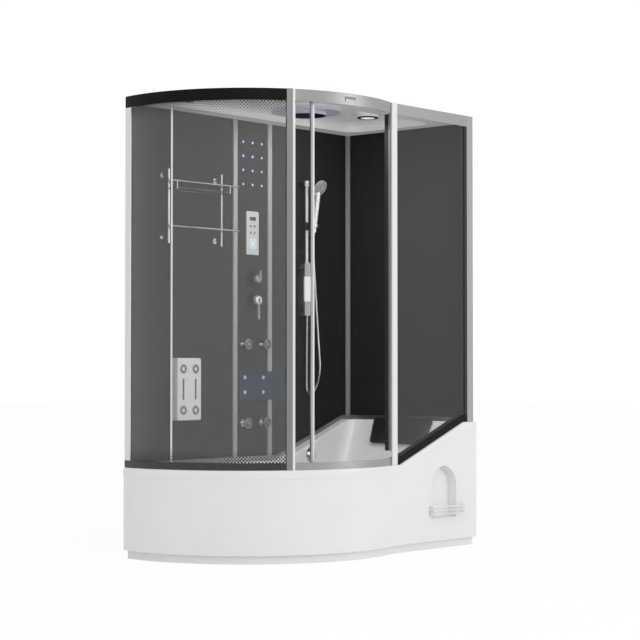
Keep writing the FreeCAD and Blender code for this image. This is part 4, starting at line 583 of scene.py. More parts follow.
# Door handles: black inside, as painted shade on the inner pull in the dark cabin; chrome at the pane,
# aluminium outside.
DOOR_HANDLE_COATS_AND_SHADE = BandFinish(
    "door_handle_coats_and_painted_shade", (NYLON, CHROME, SATIN_ALUMINIUM), (0.692, 0.718), Across.BOW)
# Ceiling light: black ring below, roof acrylic with its painted glow above.
LAMP_RING_COATS = BandFinish("lamp_ring_coats", (NYLON, ROOF_ACRYLIC), (2.1772,), Across.HEIGHT)
# Slide bar: chromed tube in front, black holders behind.
SLIDE_BAR_PARTS = BandFinish("slide_bar_parts", (CHROME_TUBE, NYLON), (0.378,), Across.DEPTH)


@dataclass(frozen=True)
class PaleFloor(Surface):
    """Pale floor: nearly white to the eye, and it keeps the shadow.

    Attributes:
        name: Name of the material.
        colour: sRGB hex colour.
        roughness: Roughness all over.
        white: Share of plain white that the eye sees.
    """

    name: str = "pale_floor"
    colour: str = "#fbfbfa"
    roughness: float = 0.9
    white: float = 0.94

    def shade(self, tree: NodeTree, shader: Node) -> NodeSocket:
        """Set up the floor.

        Args:
            tree: The material's node tree.
            shader: A Principled BSDF in it.

        Returns:
            Socket with the finished shader.
        """
        shader.inputs["Base Color"].default_value = linear(self.colour)
        shader.inputs["Roughness"].default_value = self.roughness
        glow = add_node(tree, "ShaderNodeEmission", {"Color": WHITE, "Strength": 1.0})
        share = add_node(tree, "ShaderNodeMath", {"operation": "MULTIPLY", 1: self.white}, {0: seen(tree)})
        return add_node(tree, "ShaderNodeMixShader", None, {
            0: share.outputs[0], 1: shader.outputs[0], 2: glow.outputs[0]}).outputs[0]


def clear_selection() -> None:
    """Deselect everything."""
    bpy.ops.object.select_all(action="DESELECT")


def activate(*objects: Object) -> None:
    """Select objects alone and make the first one active.

    Args:
        objects: What the next operator works on.
    """
    clear_selection()
    for obj in objects:
        obj.select_set(True)
    bpy.context.view_layer.objects.active = objects[0]


@contextmanager
def editing(obj: Object, select: str = "") -> Iterator[None]:
    """Work on one object in edit mode and leave that mode afterwards.

    Args:
        obj: Piece to work on.
        select: SELECT or DESELECT for all of its mesh, or nothing to keep its selection.

    Yields:
        Nothing; the work is done in between.
    """
    activate(obj)
    bpy.ops.object.mode_set(mode="EDIT")
    if select:
        bpy.ops.mesh.select_all(action=select)
    yield
    bpy.ops.object.mode_set(mode="OBJECT")


def take(name: str) -> Object:
    """Name the primitive that was just added.

    Args:
        name: Name of the object and its mesh.

    Returns:
        The object.
    """
    obj = bpy.context.active_object
    obj.name = name
    obj.data.name = name
    return obj


def disc(name: str, radius: float, depth: float, segments: int) -> Object:
    """Add an upright cylinder with its foot on the origin.

    Args:
        name: Name of the object.
        radius: Radius in metres.
        depth: Height in metres.
        segments: Sides of the cylinder.

    Returns:
        The new object, with its place applied.
    """
    clear_selection()
    bpy.ops.mesh.primitive_cylinder_add(vertices=segments, radius=radius, depth=depth,
                                        location=(0, 0, depth / 2))
    obj = take(name)
    bpy.ops.object.transform_apply(location=True, rotation=True, scale=True)
    return obj


def block(name: str, low: Point, high: Point) -> Object:
    """Add a box between two corners.

    Args:
        name: Name of the object.
        low: Lowest corner in metres.
        high: Highest corner in metres.

    Returns:
        The new object, with its place applied.
    """
    clear_selection()
    middle = [(a + b) / 2 for a, b in zip(low, high)]
    bpy.ops.mesh.primitive_cube_add(size=1, location=middle)
    obj = take(name)
    obj.scale = [b - a for a, b in zip(low, high)]
    bpy.ops.object.transform_apply(location=True, rotation=True, scale=True)
    return obj


def spun(name: str, corners: Sequence[Pair], steps: int = 40, start: float = 0.0,
         sweep: float = FULL_TURN, centre: Vector = ORIGIN) -> Object:
    """Spin a four-cornered profile about an upright axis.

    Args:
        name: Name of the object.
        corners: Radius and height of the corners, in order round the profile.
        steps: Steps of the turn.
        start: Angle where the turn starts, in radians.
        sweep: Angle of the turn in radians, clockwise seen from above.
        centre: Point on the axis.

    Returns:
        The new object.
    """
    clear_selection()
    bpy.ops.mesh.primitive_plane_add(size=1)
    obj = take(name)
    # A plane numbers its corners row by row, so the last two change places.
    for index, (radius, z) in zip((0, 1, 3, 2), corners):
        obj.data.vertices[index].co = centre + Vector((radius * math.cos(start), radius * math.sin(start), z))
    with editing(obj, "SELECT"):
        bpy.ops.mesh.spin(steps=steps, angle=sweep, center=centre, axis=(0, 0, 1), dupli=False)
        bpy.ops.mesh.select_all(action="SELECT")
        bpy.ops.mesh.remove_doubles(threshold=1e-5)
        bpy.ops.mesh.normals_make_consistent(inside=False)
    return obj


def step_top(obj: Object, steps: Sequence[Pair]) -> None:
    """Inset the top face and raise or sink it, several times over.

    Args:
        obj: Upright piece whose highest flat face is worked.
        steps: Pairs of inset and rise in metres.
    """
    top = max(v.co.z for v in obj.data.vertices)
    with editing(obj, "DESELECT"):
        bpy.ops.mesh.select_mode(type="FACE")
    for face in obj.data.polygons:
        face.select = face.normal.z > 0.9 and face.center.z > top - 1e-6
    with editing(obj):
        for inset, rise in steps:
            if inset:
                bpy.ops.mesh.inset(thickness=inset)
            if rise:
                bpy.ops.mesh.extrude_region_move(TRANSFORM_OT_translate={"value": (0, 0, rise)})


def soften(obj: Object, width: float, segments: int = 2) -> None:
    """Bevel an object's sharp edges and shade it smooth.

    Args:
        obj: Piece to finish.
        width: Bevel width in metres.
        segments: Steps of the bevel.
    """
    activate(obj)
    bevel = obj.modifiers.new("edges", "BEVEL")
    bevel.width, bevel.segments = width, segments
    bevel.limit_method, bevel.angle_limit = "ANGLE", BEVEL_ANGLE
    bpy.ops.object.modifier_apply(modifier=bevel.name)
    bpy.ops.object.shade_smooth_by_angle(angle=SMOOTH_ANGLE)


def put(obj: Object, matrix: Matrix) -> Object:
    """Move a piece's mesh to its place and keep the object at the origin.

    Args:
        obj: Piece modelled at the origin.
        matrix: Its place.

    Returns:
        The same piece.
    """
    obj.data.transform(matrix)
    obj.data.update()
    return obj


def twin(obj: Object) -> Object:
    """Copy a piece.

    Args:
        obj: Piece to copy.

    Returns:
        The copy, with a mesh of its own.
    """
    other = obj.copy()
    other.data = obj.data.copy()
    bpy.context.scene.collection.objects.link(other)
    return other


def join(name: str, parts: Sequence[Object]) -> Object:
    """Join pieces into one object.

    Args:
        name: Name of the joined object.
        parts: Pieces to join, the first of which stays.

    Returns:
        The joined object.
    """
    activate(*parts)
    bpy.ops.object.join()
    parts[0].name = name
    return parts[0]


def copies(obj: Object, places: Sequence[Matrix]) -> Object:
    """Repeat a piece at several places and join the copies.

    Args:
        obj: Piece modelled at the origin.
        places: Where each copy goes, two places or more.

    Returns:
        The joined object, under the first piece's name.
    """
    made = [obj] + [twin(obj) for _ in places[1:]]
    for piece, place in zip(made, places):
        put(piece, place)
    return join(obj.name, made)


def ring_places(rings: Sequence[tuple[float, int]], z: float) -> list[Matrix]:
    """Lay out places on rings about Z.

    Args:
        rings: Radius of each ring and how many places it has.
        z: Height of them all.

    Returns:
        The places, ring by ring.
    """
    turns = [(radius, FULL_TURN * i / count) for radius, count in rings for i in range(count)]
    return [Matrix.Translation((radius * math.cos(turn), radius * math.sin(turn), z))
            for radius, turn in turns]


def dress(obj: Object, *finishes: Surface) -> None:
    """Give an object its materials.

    Args:
        obj: Piece or CAD node to dress.
        finishes: Its finishes, one slot each.
    """
    obj.data.materials.clear()
    for finish in finishes:
        obj.data.materials.append(finish.make())


def paint(obj: Object, test: Test, slot: int) -> None:
    """Give some faces another material slot.

    Args:
        obj: Piece that is dressed already.
        test: Tells from a face's centre and normal whether it is painted.
        slot: Index of the material slot.
    """
    for face in obj.data.polygons:
        if test(face.center, face.normal):
            face.material_index = slot


def settle(obj: Object, body: str, slot: str, *nodes: str) -> None:
    """Let a finished piece ride on its body.

    Args:
        obj: Piece in its place.
        body: Body that carries it.
        slot: The record's material slot; not used.
        nodes: CAD nodes that it stands for, if any.
    """
    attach(obj, body)
    if nodes:
        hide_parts(*nodes)
    log.info("%s rides on %s", obj.name, body)


def fit(obj: Object, matrix: Matrix, finish: Surface, body: str, slot: str) -> None:
    """Move a piece to its place, dress it in one finish and let it ride.

    Args:
        obj: Piece modelled at the origin.
        matrix: Its place.
        finish: Its finish.
        body: Body that carries it.
        slot: The record's material slot.
    """
    dress(put(obj, matrix), finish)
    settle(obj, body, slot)


def on_wall(x: float, y: float, z: float) -> Matrix:
    """Give the matrix that turns an upright piece to face the door and moves it there."""
    return Matrix.Translation((x, y, z)) @ FACING_DOOR


def on_bow(angle: float, radius: float) -> Matrix:
    """Give the matrix that turns a piece's +X outwards at an angle of the bow, in degrees."""
    turn = Matrix.Rotation(math.radians(angle), 4, "Z")
    return Matrix.Translation(BOW_CENTRE) @ turn @ Matrix.Translation((radius, 0, 0))


@dataclass
class Cabin:
    """Base of the sub-assemblies.

    Attributes:
        nodes: The frame's CAD nodes by name.
    """

    nodes: dict[str, Object]

    def cover(self, finish: Surface, *names: str) -> None:
        """Give carried-over nodes a finish.

        Args:
            finish: Their finish.
            names: Names of the nodes.
        """
        for name in names:
            dress(self.nodes[name], finish)
            log.info("%s keeps its solid", name)


@dataclass
class Tub(Cabin):
    """Tub, skirt, rack, pillow and plumbing.

    Attributes:
        pillow_base: Middle of the pillow's back on the backrest.
        pillow_half: Half widths at the top and the foot, and half the length.
        pillow_thick: Thickness at the crown.
        backrest: Direction down the backrest.
        waist: Share by which the sides draw in between the corners.
        edge_round: Share by which the sides draw in at the back and the front.
        corner_round: Share by which the corners draw in.
        crown_fall: Share of the crown that is lost at the sides and at the ends.
        clearance: Gap to the backrest.
    """

    pillow_base: Point = (0.7436, 0.012, 0.5654)
    pillow_half: Point = (0.200, 0.182, 0.072)
    pillow_thick: float = 0.037
    backrest: Point = (-0.4486, 0.0, -0.8937)
    waist: float = 0.035
    edge_round: float = 0.045
    corner_round: float = 0.04
    crown_fall: Pair = (0.62, 0.66)
    clearance: float = 0.0004

    def build(self) -> None:
        """Dress the tub."""
        self.cover(CAST_ACRYLIC, "tub_shell", "skirt_panel")
        self.cover(GALVANISED, "tub_frame")
        self.cover(CHROME_TUBE, "niche_rack")
        self.cover(CHROME, "overflow_body", "overflow_knob", "waste_plug")
        self.cover(WHITE_ABS, "waste_trap")
        self.pillow()

    def pillow(self) -> None:
        """Model the backrest pillow: crowned, with its sides drawn in between round corners."""
        clear_selection()
        bpy.ops.mesh.primitive_cube_add(size=2)
        obj = take("headrest_cushion")
        with editing(obj, "SELECT"):
            bpy.ops.mesh.subdivide(number_cuts=15)
        slope = Vector(self.backrest)
        out = Vector((slope.z, 0, -slope.x))
        wide, narrow, half = self.pillow_half
        side_fall, end_fall = self.crown_fall
        for vertex in obj.data.vertices:
            u, v, w = vertex.co
            bulge = math.sqrt(max(0.0, 1 - w * w))
            pull = 1 - self.waist * (1 - u * u if abs(v) >= abs(u) else 1 - v * v)
            rim = max(abs(u), abs(v)) > 0.999
            reach = (1 - self.edge_round * (1 - bulge)) * pull if rim else 1.0
            reach *= 1 - self.corner_round * (abs(u) * abs(v)) ** 3
            width = wide + (narrow - wide) * (v + 1) / 2
            crown = (1 - side_fall * abs(u) ** 5) * (1 - end_fall * abs(v) ** 4)
            height = self.pillow_thick * (1 + (w * crown if w > 0 else w)) / 2
            vertex.co = (Vector(self.pillow_base) + Vector((0, u * width * reach, 0))
                         + slope * (v * half * reach) + out * (height + self.clearance))
        smooth = obj.modifiers.new("skin", "SUBSURF")
        smooth.levels = smooth.render_levels = 1
        bpy.ops.object.modifier_apply(modifier=smooth.name)
        with editing(obj, "SELECT"):
            bpy.ops.mesh.normals_make_consistent(inside=False)
        bpy.ops.object.shade_smooth()
        dress(obj, SKIN_FOAM)
        settle(obj, "cabin", "cushion", "headrest_pillow")


@dataclass
class Enclosure(Cabin):
    """Rails, posts, panes and the bare plate on the top rail.

    Attributes:
        plate_angle: Angle of the plate's middle along the bow, in degrees.
        plate_sweep: Angle that the plate spans, in degrees.
        plate_radii: Distance of its back and its front from the bow's axis.
        plate_heights: Its lower and upper edge.
    """

    plate_angle: float = -98.0
    plate_sweep: float = 5.2
    plate_radii: Pair = (0.7451, 0.7466)
    plate_heights: Pair = (2.160, 2.183)

    def build(self) -> None:
        """Dress the enclosure."""
        self.cover(BLACK_COAT, "top_rail_left", "bottom_rail_right")
        self.cover(GLOSS_BLACK, "bottom_rail_left")
        self.cover(RAIL_ALUMINIUM, "top_rail_door", "bottom_rail_door", "top_rail_right")
        # The left door post's grey and white sides are painted shade and highlight.
        self.cover(LEFT_POST_PAINTED_SHADING, "post_door_left")
        self.cover(RIGHT_POST_COATS, "post_door_right")
        self.cover(WALL_POST_COATS, "wall_posts")
        self.cover(PANE_SEALS, "glass_seals")
        self.cover(PRINTED_GLASS, "glass_left")
        self.cover(SIDE_GLASS, "glass_right")
        self.plate()

    def plate(self) -> None:
        """Model the bare plate that follows the rail's curve."""
        back, front = self.plate_radii
        low, high = self.plate_heights
        obj = spun("rail_plate", [(back, low), (front, low), (front, high), (back, high)], 12,
                   math.radians(self.plate_angle - self.plate_sweep / 2), -math.radians(self.plate_sweep),
                   BOW_CENTRE)
        soften(obj, 0.0004)
        dress(obj, SATIN_CHROME)
        settle(obj, "cabin", "aluminium")


@dataclass
class Door(Cabin):
    """Sliding door with its grip sleeve and magnet strip.

    Attributes:
        handle_angle: Angle of the handles along the bow, in degrees.
        handle_radius: Distance of the outer handle from the bow's axis.
        sleeve_half: Half the thickness and half the width of the white sleeve on the outer handle.
        sleeve_heights: Foot and head of the sleeve.
        lead_angle: Angle of the leading profile along the bow, in degrees.
        lead_radius: Distance of the leading profile from the bow's axis.
        strip_low: Lowest corner of the magnet strip, measured from the leading profile.
        strip_high: Highest corner of the strip.
    """

    handle_angle: float = -116.88
    handle_radius: float = 0.756
    sleeve_half: Pair = (0.0088, 0.0153)
    sleeve_heights: Pair = (1.209, 1.329)
    lead_angle: float = -113.0
    lead_radius: float = 0.718
    strip_low: Point = (-0.0067, -0.0080, 0.4525)
    strip_high: Point = (0.0067, 0.0008, 2.1575)

    def build(self) -> None:
        """Dress the door."""
        self.cover(DOOR_GLASS, "door_glass")
        self.cover(DOOR_PROFILE_COATS, "door_profiles")
        # The black of the inner pull is painted shade.
        self.cover(DOOR_HANDLE_COATS_AND_SHADE, "door_handle")
        self.cover(NYLON, "door_hangers", "roller_front", "roller_rear")
        self.sleeve()
        self.strip()

    def sleeve(self) -> None:
        """Model the white sleeve round the outer handle's middle."""
        thick, wide = self.sleeve_half
        foot, head = self.sleeve_heights
        obj = block("handle_sleeve", (-thick, -wide, foot), (thick, wide, head))
        soften(obj, 0.005, 4)
        fit(obj, on_bow(self.handle_angle, self.handle_radius), WHITE_COAT, "door", "aluminium")

    def strip(self) -> None:
        """Model the white magnet strip on the leading profile."""
        obj = block("magnet_strip", self.strip_low, self.strip_high)
        soften(obj, 0.0008)
        fit(obj, on_bow(self.lead_angle, self.lead_radius), WHITE_COAT, "door", "seal")


@dataclass
class Walls(Cabin):
    """Wall panels, profiles, roof, rain head and light.

    Attributes:
        rain_centre: Middle of the rain head.
        rain_top: Height of the spray plate's back.
        rain_plate_size: Radius and thickness of the spray plate.
        rain_rim: Width of the plate's rim and how far its face lies below it.
        ring_nubs: Radius of each ring of spray nubs and how many it has.
        nub_size: Radius and height of a nub.
        nub_steps: Insets and rises of its tip.
        lamp_centre: Middle of the light.
        lens_top: Height of the lens's back.
        lens_size: Radius and thickness of the lens.
        lens_steps: Insets and rises of its face, from the rim inwards.
    """

    rain_centre: Pair = (0.036, 0.057)
    rain_top: float = 2.194
    rain_plate_size: Pair = (0.1012, 0.0312)
    rain_rim: Pair = (0.006, 0.0006)
    ring_nubs: tuple[tuple[float, int], ...] = ((0.018, 6), (0.040, 12), (0.062, 18), (0.084, 24))
    nub_size: Pair = (0.0026, 0.0008)
    nub_steps: Steps = ((0.0012, 0.0004),)
    lamp_centre: Pair = (0.359, -0.078)
    lens_top: float = 2.1758
    lens_size: Pair = (0.0355, 0.0036)
    lens_steps: Steps = ((0.010, 0.0), (0.004, -0.0012), (0.010, -0.0006))

    def build(self) -> None:
        """Dress the walls and the roof."""
        self.cover(BLACK_WALL, "back_panel_left", "column_panel", "back_panel_right", "side_panel")
        self.cover(SILVER_COAT, "wall_profiles")
        self.cover(SATIN_ALUMINIUM, "wall_sill")
        self.cover(ROOF_ACRYLIC, "roof_panel")
        self.cover(BLUE_RING, "rain_head")
        self.cover(LAMP_RING_COATS, "ceiling_light")
        self.rain_plate()
        self.lens()

    def rain_plate(self) -> None:
        """Model the rain head's navy plate with its rings of nubs."""
        radius, thick = self.rain_plate_size
        rim, sunk = self.rain_rim
        plate = disc("rain_plate", radius, thick, segments=96)
        step_top(plate, [(rim, 0.0), (0.0, -sunk)])
        soften(plate, 0.002, 3)
        dress(plate, BLUE_RING, NAVY_FACE)
        paint(plate, lambda centre, normal: normal.z > 0.5, 1)
        nub = disc("rain_nub", *self.nub_size, segments=10)
        step_top(nub, self.nub_steps)
        soften(nub, 0.0002, 1)
        dress(nub, NAVY_FACE)
        obj = join("rain_spray_plate", [plate, copies(nub, ring_places(self.ring_nubs, thick - sunk))])
        put(obj, Matrix.Translation((*self.rain_centre, self.rain_top)) @ FACING_FLOOR)
        settle(obj, "cabin", "pipe")

    def lens(self) -> None:
        """Model the light's frosted lens in its black ring."""
        obj = disc("lamp_lens", *self.lens_size, segments=64)
        step_top(obj, self.lens_steps)
        soften(obj, 0.0008)
        fit(obj, Matrix.Translation((*self.lamp_centre, self.lens_top)) @ FACING_FLOOR, FROST_LENS,
            "cabin", "lamp")


@dataclass
class Column(Cabin):
    """Fitting column: control panel, nozzles, lumbar plate, jets and valves.

    Attributes:
        middle: X of the column.
        nozzle_size: Radius and height of a wall nozzle.
        nozzle_steps: Insets and rises of its front, from the bezel to the spout.
        nozzle_low: Height of the lowest wall nozzles.
        nozzle_pitch: Steps of the wall nozzles across and up.
        lumbar_front: Y of the lumbar plate's front.
        lumbar_low: Height of the lower lumbar nozzles.
        lumbar_pitch: Steps of the lumbar nozzles across and up.
        lumbar_scale: Size of a lumbar nozzle against a wall nozzle.
        insert_radii: Radius within which a wall and a lumbar nozzle are lit.
        jet_places: X and Z of each jet.
        jet_front: Y of the jets' faces.
        jet_size: Radius and thickness of a jet's face.
        jet_steps: Insets and rises of it, from the rim to the spout's bore.
        jet_groove: Inner and outer radius of the dark groove in a jet's face, and the Y behind which it is.
        panel_low: Foot of the control panel.
        display_level: Height of the display above the panel's foot.
        display_half: Half the width and half the height of the display.
        display_depths: How far the window's front and back lie behind the panel's front.
        digits: Lit bars of each digit.
        digit_bars: Place of each bar across and up, in half digits, and whether it lies flat.
        digit_half: Half the width and half the height of a digit, between the middles of its bars.
        digit_start: X of the first digit from the column's middle.
        digit_pitch: Step to the next digit.
        flat_half: Half the length and half the height of a flat bar.
        upright_half: Half the width and half the height of an upright bar.
        bar_depths: How far a bar's front and back lie behind the panel's front.
        pad_level: Height of the four-way pad above the panel's foot.
        pad_proud: How far the pad stands before the panel's front.
        arrow_size: Radius and height of an arrow.
        arrow_reach: Distance of the arrows from the pad's middle.
        button_size: Radius and height of the button.
        button_steps: Insets and rises of its front.
    """

    middle: float = 0.036
    nozzle_size: Pair = (0.0100, 0.0040)
    nozzle_steps: Steps = ((0.0022, 0.0006), (0.0010, 0.0), (0.0, -0.0020), (0.0030, 0.0), (0.0, 0.0016))
    nozzle_low: float = WALL_FOOT + 0.797 * WALL_HEIGHT
    nozzle_pitch: Pair = (0.069, 0.072)
    lumbar_front: float = WALL_FACE - 0.015
    lumbar_low: float = WALL_FOOT + 0.1747 * WALL_HEIGHT + 0.040
    lumbar_pitch: Pair = (0.137, 0.075)
    lumbar_scale: Point = (1.1, 1.1, 0.8)
    insert_radii: Pair = (0.0069, 0.0076)
    jet_places: tuple[Pair, ...] = (
        (-0.035, 1.02415), (0.107, 1.02415), (-0.035, 0.62417), (0.107, 0.62417))
    jet_front: float = 0.3781
    jet_size: Pair = (0.0245, 0.0016)
    jet_steps: Steps = (
        (0.0030, 0.0012), (0.0026, 0.0), (0.0, -0.0020), (0.0060, 0.0), (0.0, 0.0050), (0.0022, 0.0006),
        (0.0022, 0.0), (0.0, -0.0040))
    jet_groove: Point = (0.012, 0.0186, 0.3762)
    panel_low: float = 1.48196
    display_level: float = 0.185
    display_half: Pair = (0.0218, 0.0093)
    display_depths: Pair = (0.0005, 0.0014)
    digits: tuple[str, ...] = ("abgcd", "abcdefg")
    digit_bars: tuple[tuple[str, float, float, bool], ...] = (
        ("a", 0, 1, True), ("b", 1, 0.5, False), ("c", 1, -0.5, False), ("d", 0, -1, True),
        ("e", -1, -0.5, False), ("f", -1, 0.5, False), ("g", 0, 0, True))
    digit_half: Pair = (0.0032, 0.0058)
    digit_start: float = -0.007
    digit_pitch: float = 0.013
    flat_half: Pair = (0.0026, 0.0006)
    upright_half: Pair = (0.0006, 0.0023)
    bar_depths: Pair = (0.0002, 0.0007)
    pad_level: float = 0.056
    pad_proud: float = 0.001
    arrow_size: Pair = (0.0052, 0.0009)
    arrow_reach: float = 0.0185
    button_size: Pair = (0.0105, 0.0008)
    button_steps: Steps = ((0.0016, 0.0004), (0.0010, -0.0005))

    def build(self) -> None:
        """Dress the column."""
        self.cover(GREY_ABS, "control_panel")
        self.cover(PALE_KEY, "key_pad")
        self.cover(GREY_KEY, "key_lamp", "key_fan", "key_radio", "key_phone")
        self.cover(BLUE_PLATE, "lumbar_plate")
        self.cover(CHROME, "jet_bases")
        self.cover(CHROME_TUBE, "mixer_cap")
        self.cover(GREY_CHROME, "diverter_knob", "mixer_lever")
        # The flanges' dark colour is a painted reflection of the dark cabin.
        self.cover(DARK_REFLECTION_CHROME, "valve_bodies")
        self.cover(SATIN_CHROME, "jet_rose_1", "jet_rose_2", "jet_rose_3", "jet_rose_4")
        self.nozzles()
        self.jet_faces()
        self.display()
        self.arrows()

    def nozzles(self) -> None:
        """Model the spray nozzles: dark bezel, sunk insert and a small spout."""
        tall = disc("nozzle", *self.nozzle_size, segments=32)
        step_top(tall, self.nozzle_steps)
        soften(tall, 0.0005)
        small = put(twin(tall), Matrix.Diagonal((*self.lumbar_scale, 1)))
        for nozzle, bezel, lit in zip((tall, small), (NAVY_FACE, SATIN_CHROME), self.insert_radii):
            dress(nozzle, bezel, LIT_NOZZLE)
            paint(nozzle, lambda centre, normal: centre.xy.length < lit, 1)
        across, up = self.nozzle_pitch
        places = [on_wall(self.middle + (i - 1) * across, WALL_FACE, self.nozzle_low + k * up)
                  for i in range(3) for k in range(4)]
        across, up = self.lumbar_pitch
        needles = [on_wall(self.middle + (i - 0.5) * across, self.lumbar_front, self.lumbar_low + k * up)
                   for i in range(2) for k in range(2)]
        obj = join("spray_nozzle_set", [copies(tall, places), copies(small, needles)])
        settle(obj, "cabin", "pipe", "spray_nozzles")

    def jet_faces(self) -> None:
        """Model the jets' front faces: stepped rings round a short spout."""
        inner, outer, behind = self.jet_groove
        for number, (x, z) in enumerate(self.jet_places, 1):
            obj = disc(f"jet_face_{number}", *self.jet_size, segments=48)
            step_top(obj, self.jet_steps)
            soften(obj, 0.0006)
            put(obj, on_wall(x, self.jet_front, z))
            dress(obj, SATIN_CHROME, SPRAY_FACE)
            paint(obj, lambda centre, normal: centre.y > behind and
                  inner < math.hypot(centre.x - x, centre.z - z) < outer, 1)
            settle(obj, f"jet_{number}", "chrome")

    def display(self) -> None:
        """Model the display's window and its lit digits."""
        level = self.panel_low + self.display_level
        wide, high = self.display_half
        front, back = (PANEL_FACE + depth for depth in self.display_depths)
        window = block("display_window", (self.middle - wide, front, level - high),
                       (self.middle + wide, back, level + high))
        soften(window, 0.0004)
        dress(window, RED_WINDOW)
        settle(window, "cabin", "panel_plastic")
        bars = {name: place for name, *place in self.digit_bars}
        front, back = (PANEL_FACE + depth for depth in self.bar_depths)
        parts = []
        for k, lit in enumerate(self.digits):
            for bar in lit:
                across, up, flat = bars[bar]
                x = self.middle + self.digit_start + self.digit_pitch * k + across * self.digit_half[0]
                z = level + up * self.digit_half[1]
                wide, high = self.flat_half if flat else self.upright_half
                part = block("digit_bar", (x - wide, front, z - high), (x + wide, back, z + high))
                soften(part, 0.0002, 1)
                parts.append(part)
        obj = join("display_digits", parts)
        dress(obj, RED_LIGHT)
        settle(obj, "cabin", "panel_plastic")

    def arrows(self) -> None:
        """Model the raised arrows and the button of the four-way pad."""
        pad = on_wall(self.middle, PANEL_FACE - self.pad_proud, self.panel_low + self.pad_level)
        arrow = disc("pad_arrow", *self.arrow_size, segments=3)
        soften(arrow, 0.0003)
        arrow = copies(arrow, [pad @ Matrix.Rotation(math.radians(90 * i), 4, "Z")
                               @ Matrix.Translation((0, self.arrow_reach, 0)) for i in range(4)])
        button = disc("pad_button", *self.button_size, segments=40)
        step_top(button, self.button_steps)
        soften(button, 0.0003)
        put(button, pad)
        dress(arrow, BLUE_MARK)
        dress(button, WHITE_ABS)
        obj = join("pad_marks", [arrow, button])
        settle(obj, "key_pad", "panel_plastic")


@dataclass
class Fittings(Cabin):
    """Massage unit and towel rack.

    Attributes:
        unit_place: X of the massage unit's middle, Y of its front and Z of its foot.
        disc_half: Half the distance between its two columns.
        disc_levels: Heights of the ringed discs above the foot.
        ring_profile: Radius and height of the corners of a ring round a disc.
        strip_half: Half the width of a strip.
        strip_depths: How far a strip's front and back lie behind the unit's front.
        strip_levels: Foot and head of a strip above the unit's foot.
    """

    unit_place: Point = (-0.4573, 0.378, 0.647)
    disc_half: float = 0.042
    disc_levels: Pair = (0.050, 0.252)
    ring_profile: tuple[Pair, ...] = (
        (0.0095, 0.0002), (0.0222, 0.0002), (0.0205, 0.0026), (0.0112, 0.0026))
    strip_half: float = 0.006
    strip_depths: Pair = (0.0035, 0.0078)
    strip_levels: Pair = (0.1015, 0.2025)

    def build(self) -> None:
        """Dress the wall fittings."""
        self.cover(WHITE_ABS, "massage_unit")
        self.cover(CHROME, "towel_rack")
        self.cover(CLEAR_GLASS, "rack_shelf")
        self.massage_shade_marks()

    def massage_shade_marks(self) -> None:
        """Model the grey rings round the unit's discs and the grey strips in its slots, as painted shade of
        the grooves and slots.
        """
        x, y, z = self.unit_place
        sides = (x - self.disc_half, x + self.disc_half)
        # The grey rings and strips are painted shade in the grooves and slots.
        loop = spun("massage_ring", self.ring_profile)
        soften(loop, 0.0008, 3)
        dress(loop, GREY_RING)
        marks = [copies(loop, [on_wall(side, y, z + level) for side in sides for level in self.disc_levels])]
        for side in sides:
            low, high = ((side + self.strip_half * sign, y + depth, z + level) for sign, depth, level in
                         zip((-1, 1), self.strip_depths, self.strip_levels))
            strip = block("massage_strip", low, high)
            soften(strip, 0.0018, 3)
            dress(strip, GREY_KEY)
            marks.append(strip)
        obj = join("massage_unit_painted_shade", marks)
        settle(obj, "cabin", "panel_plastic")


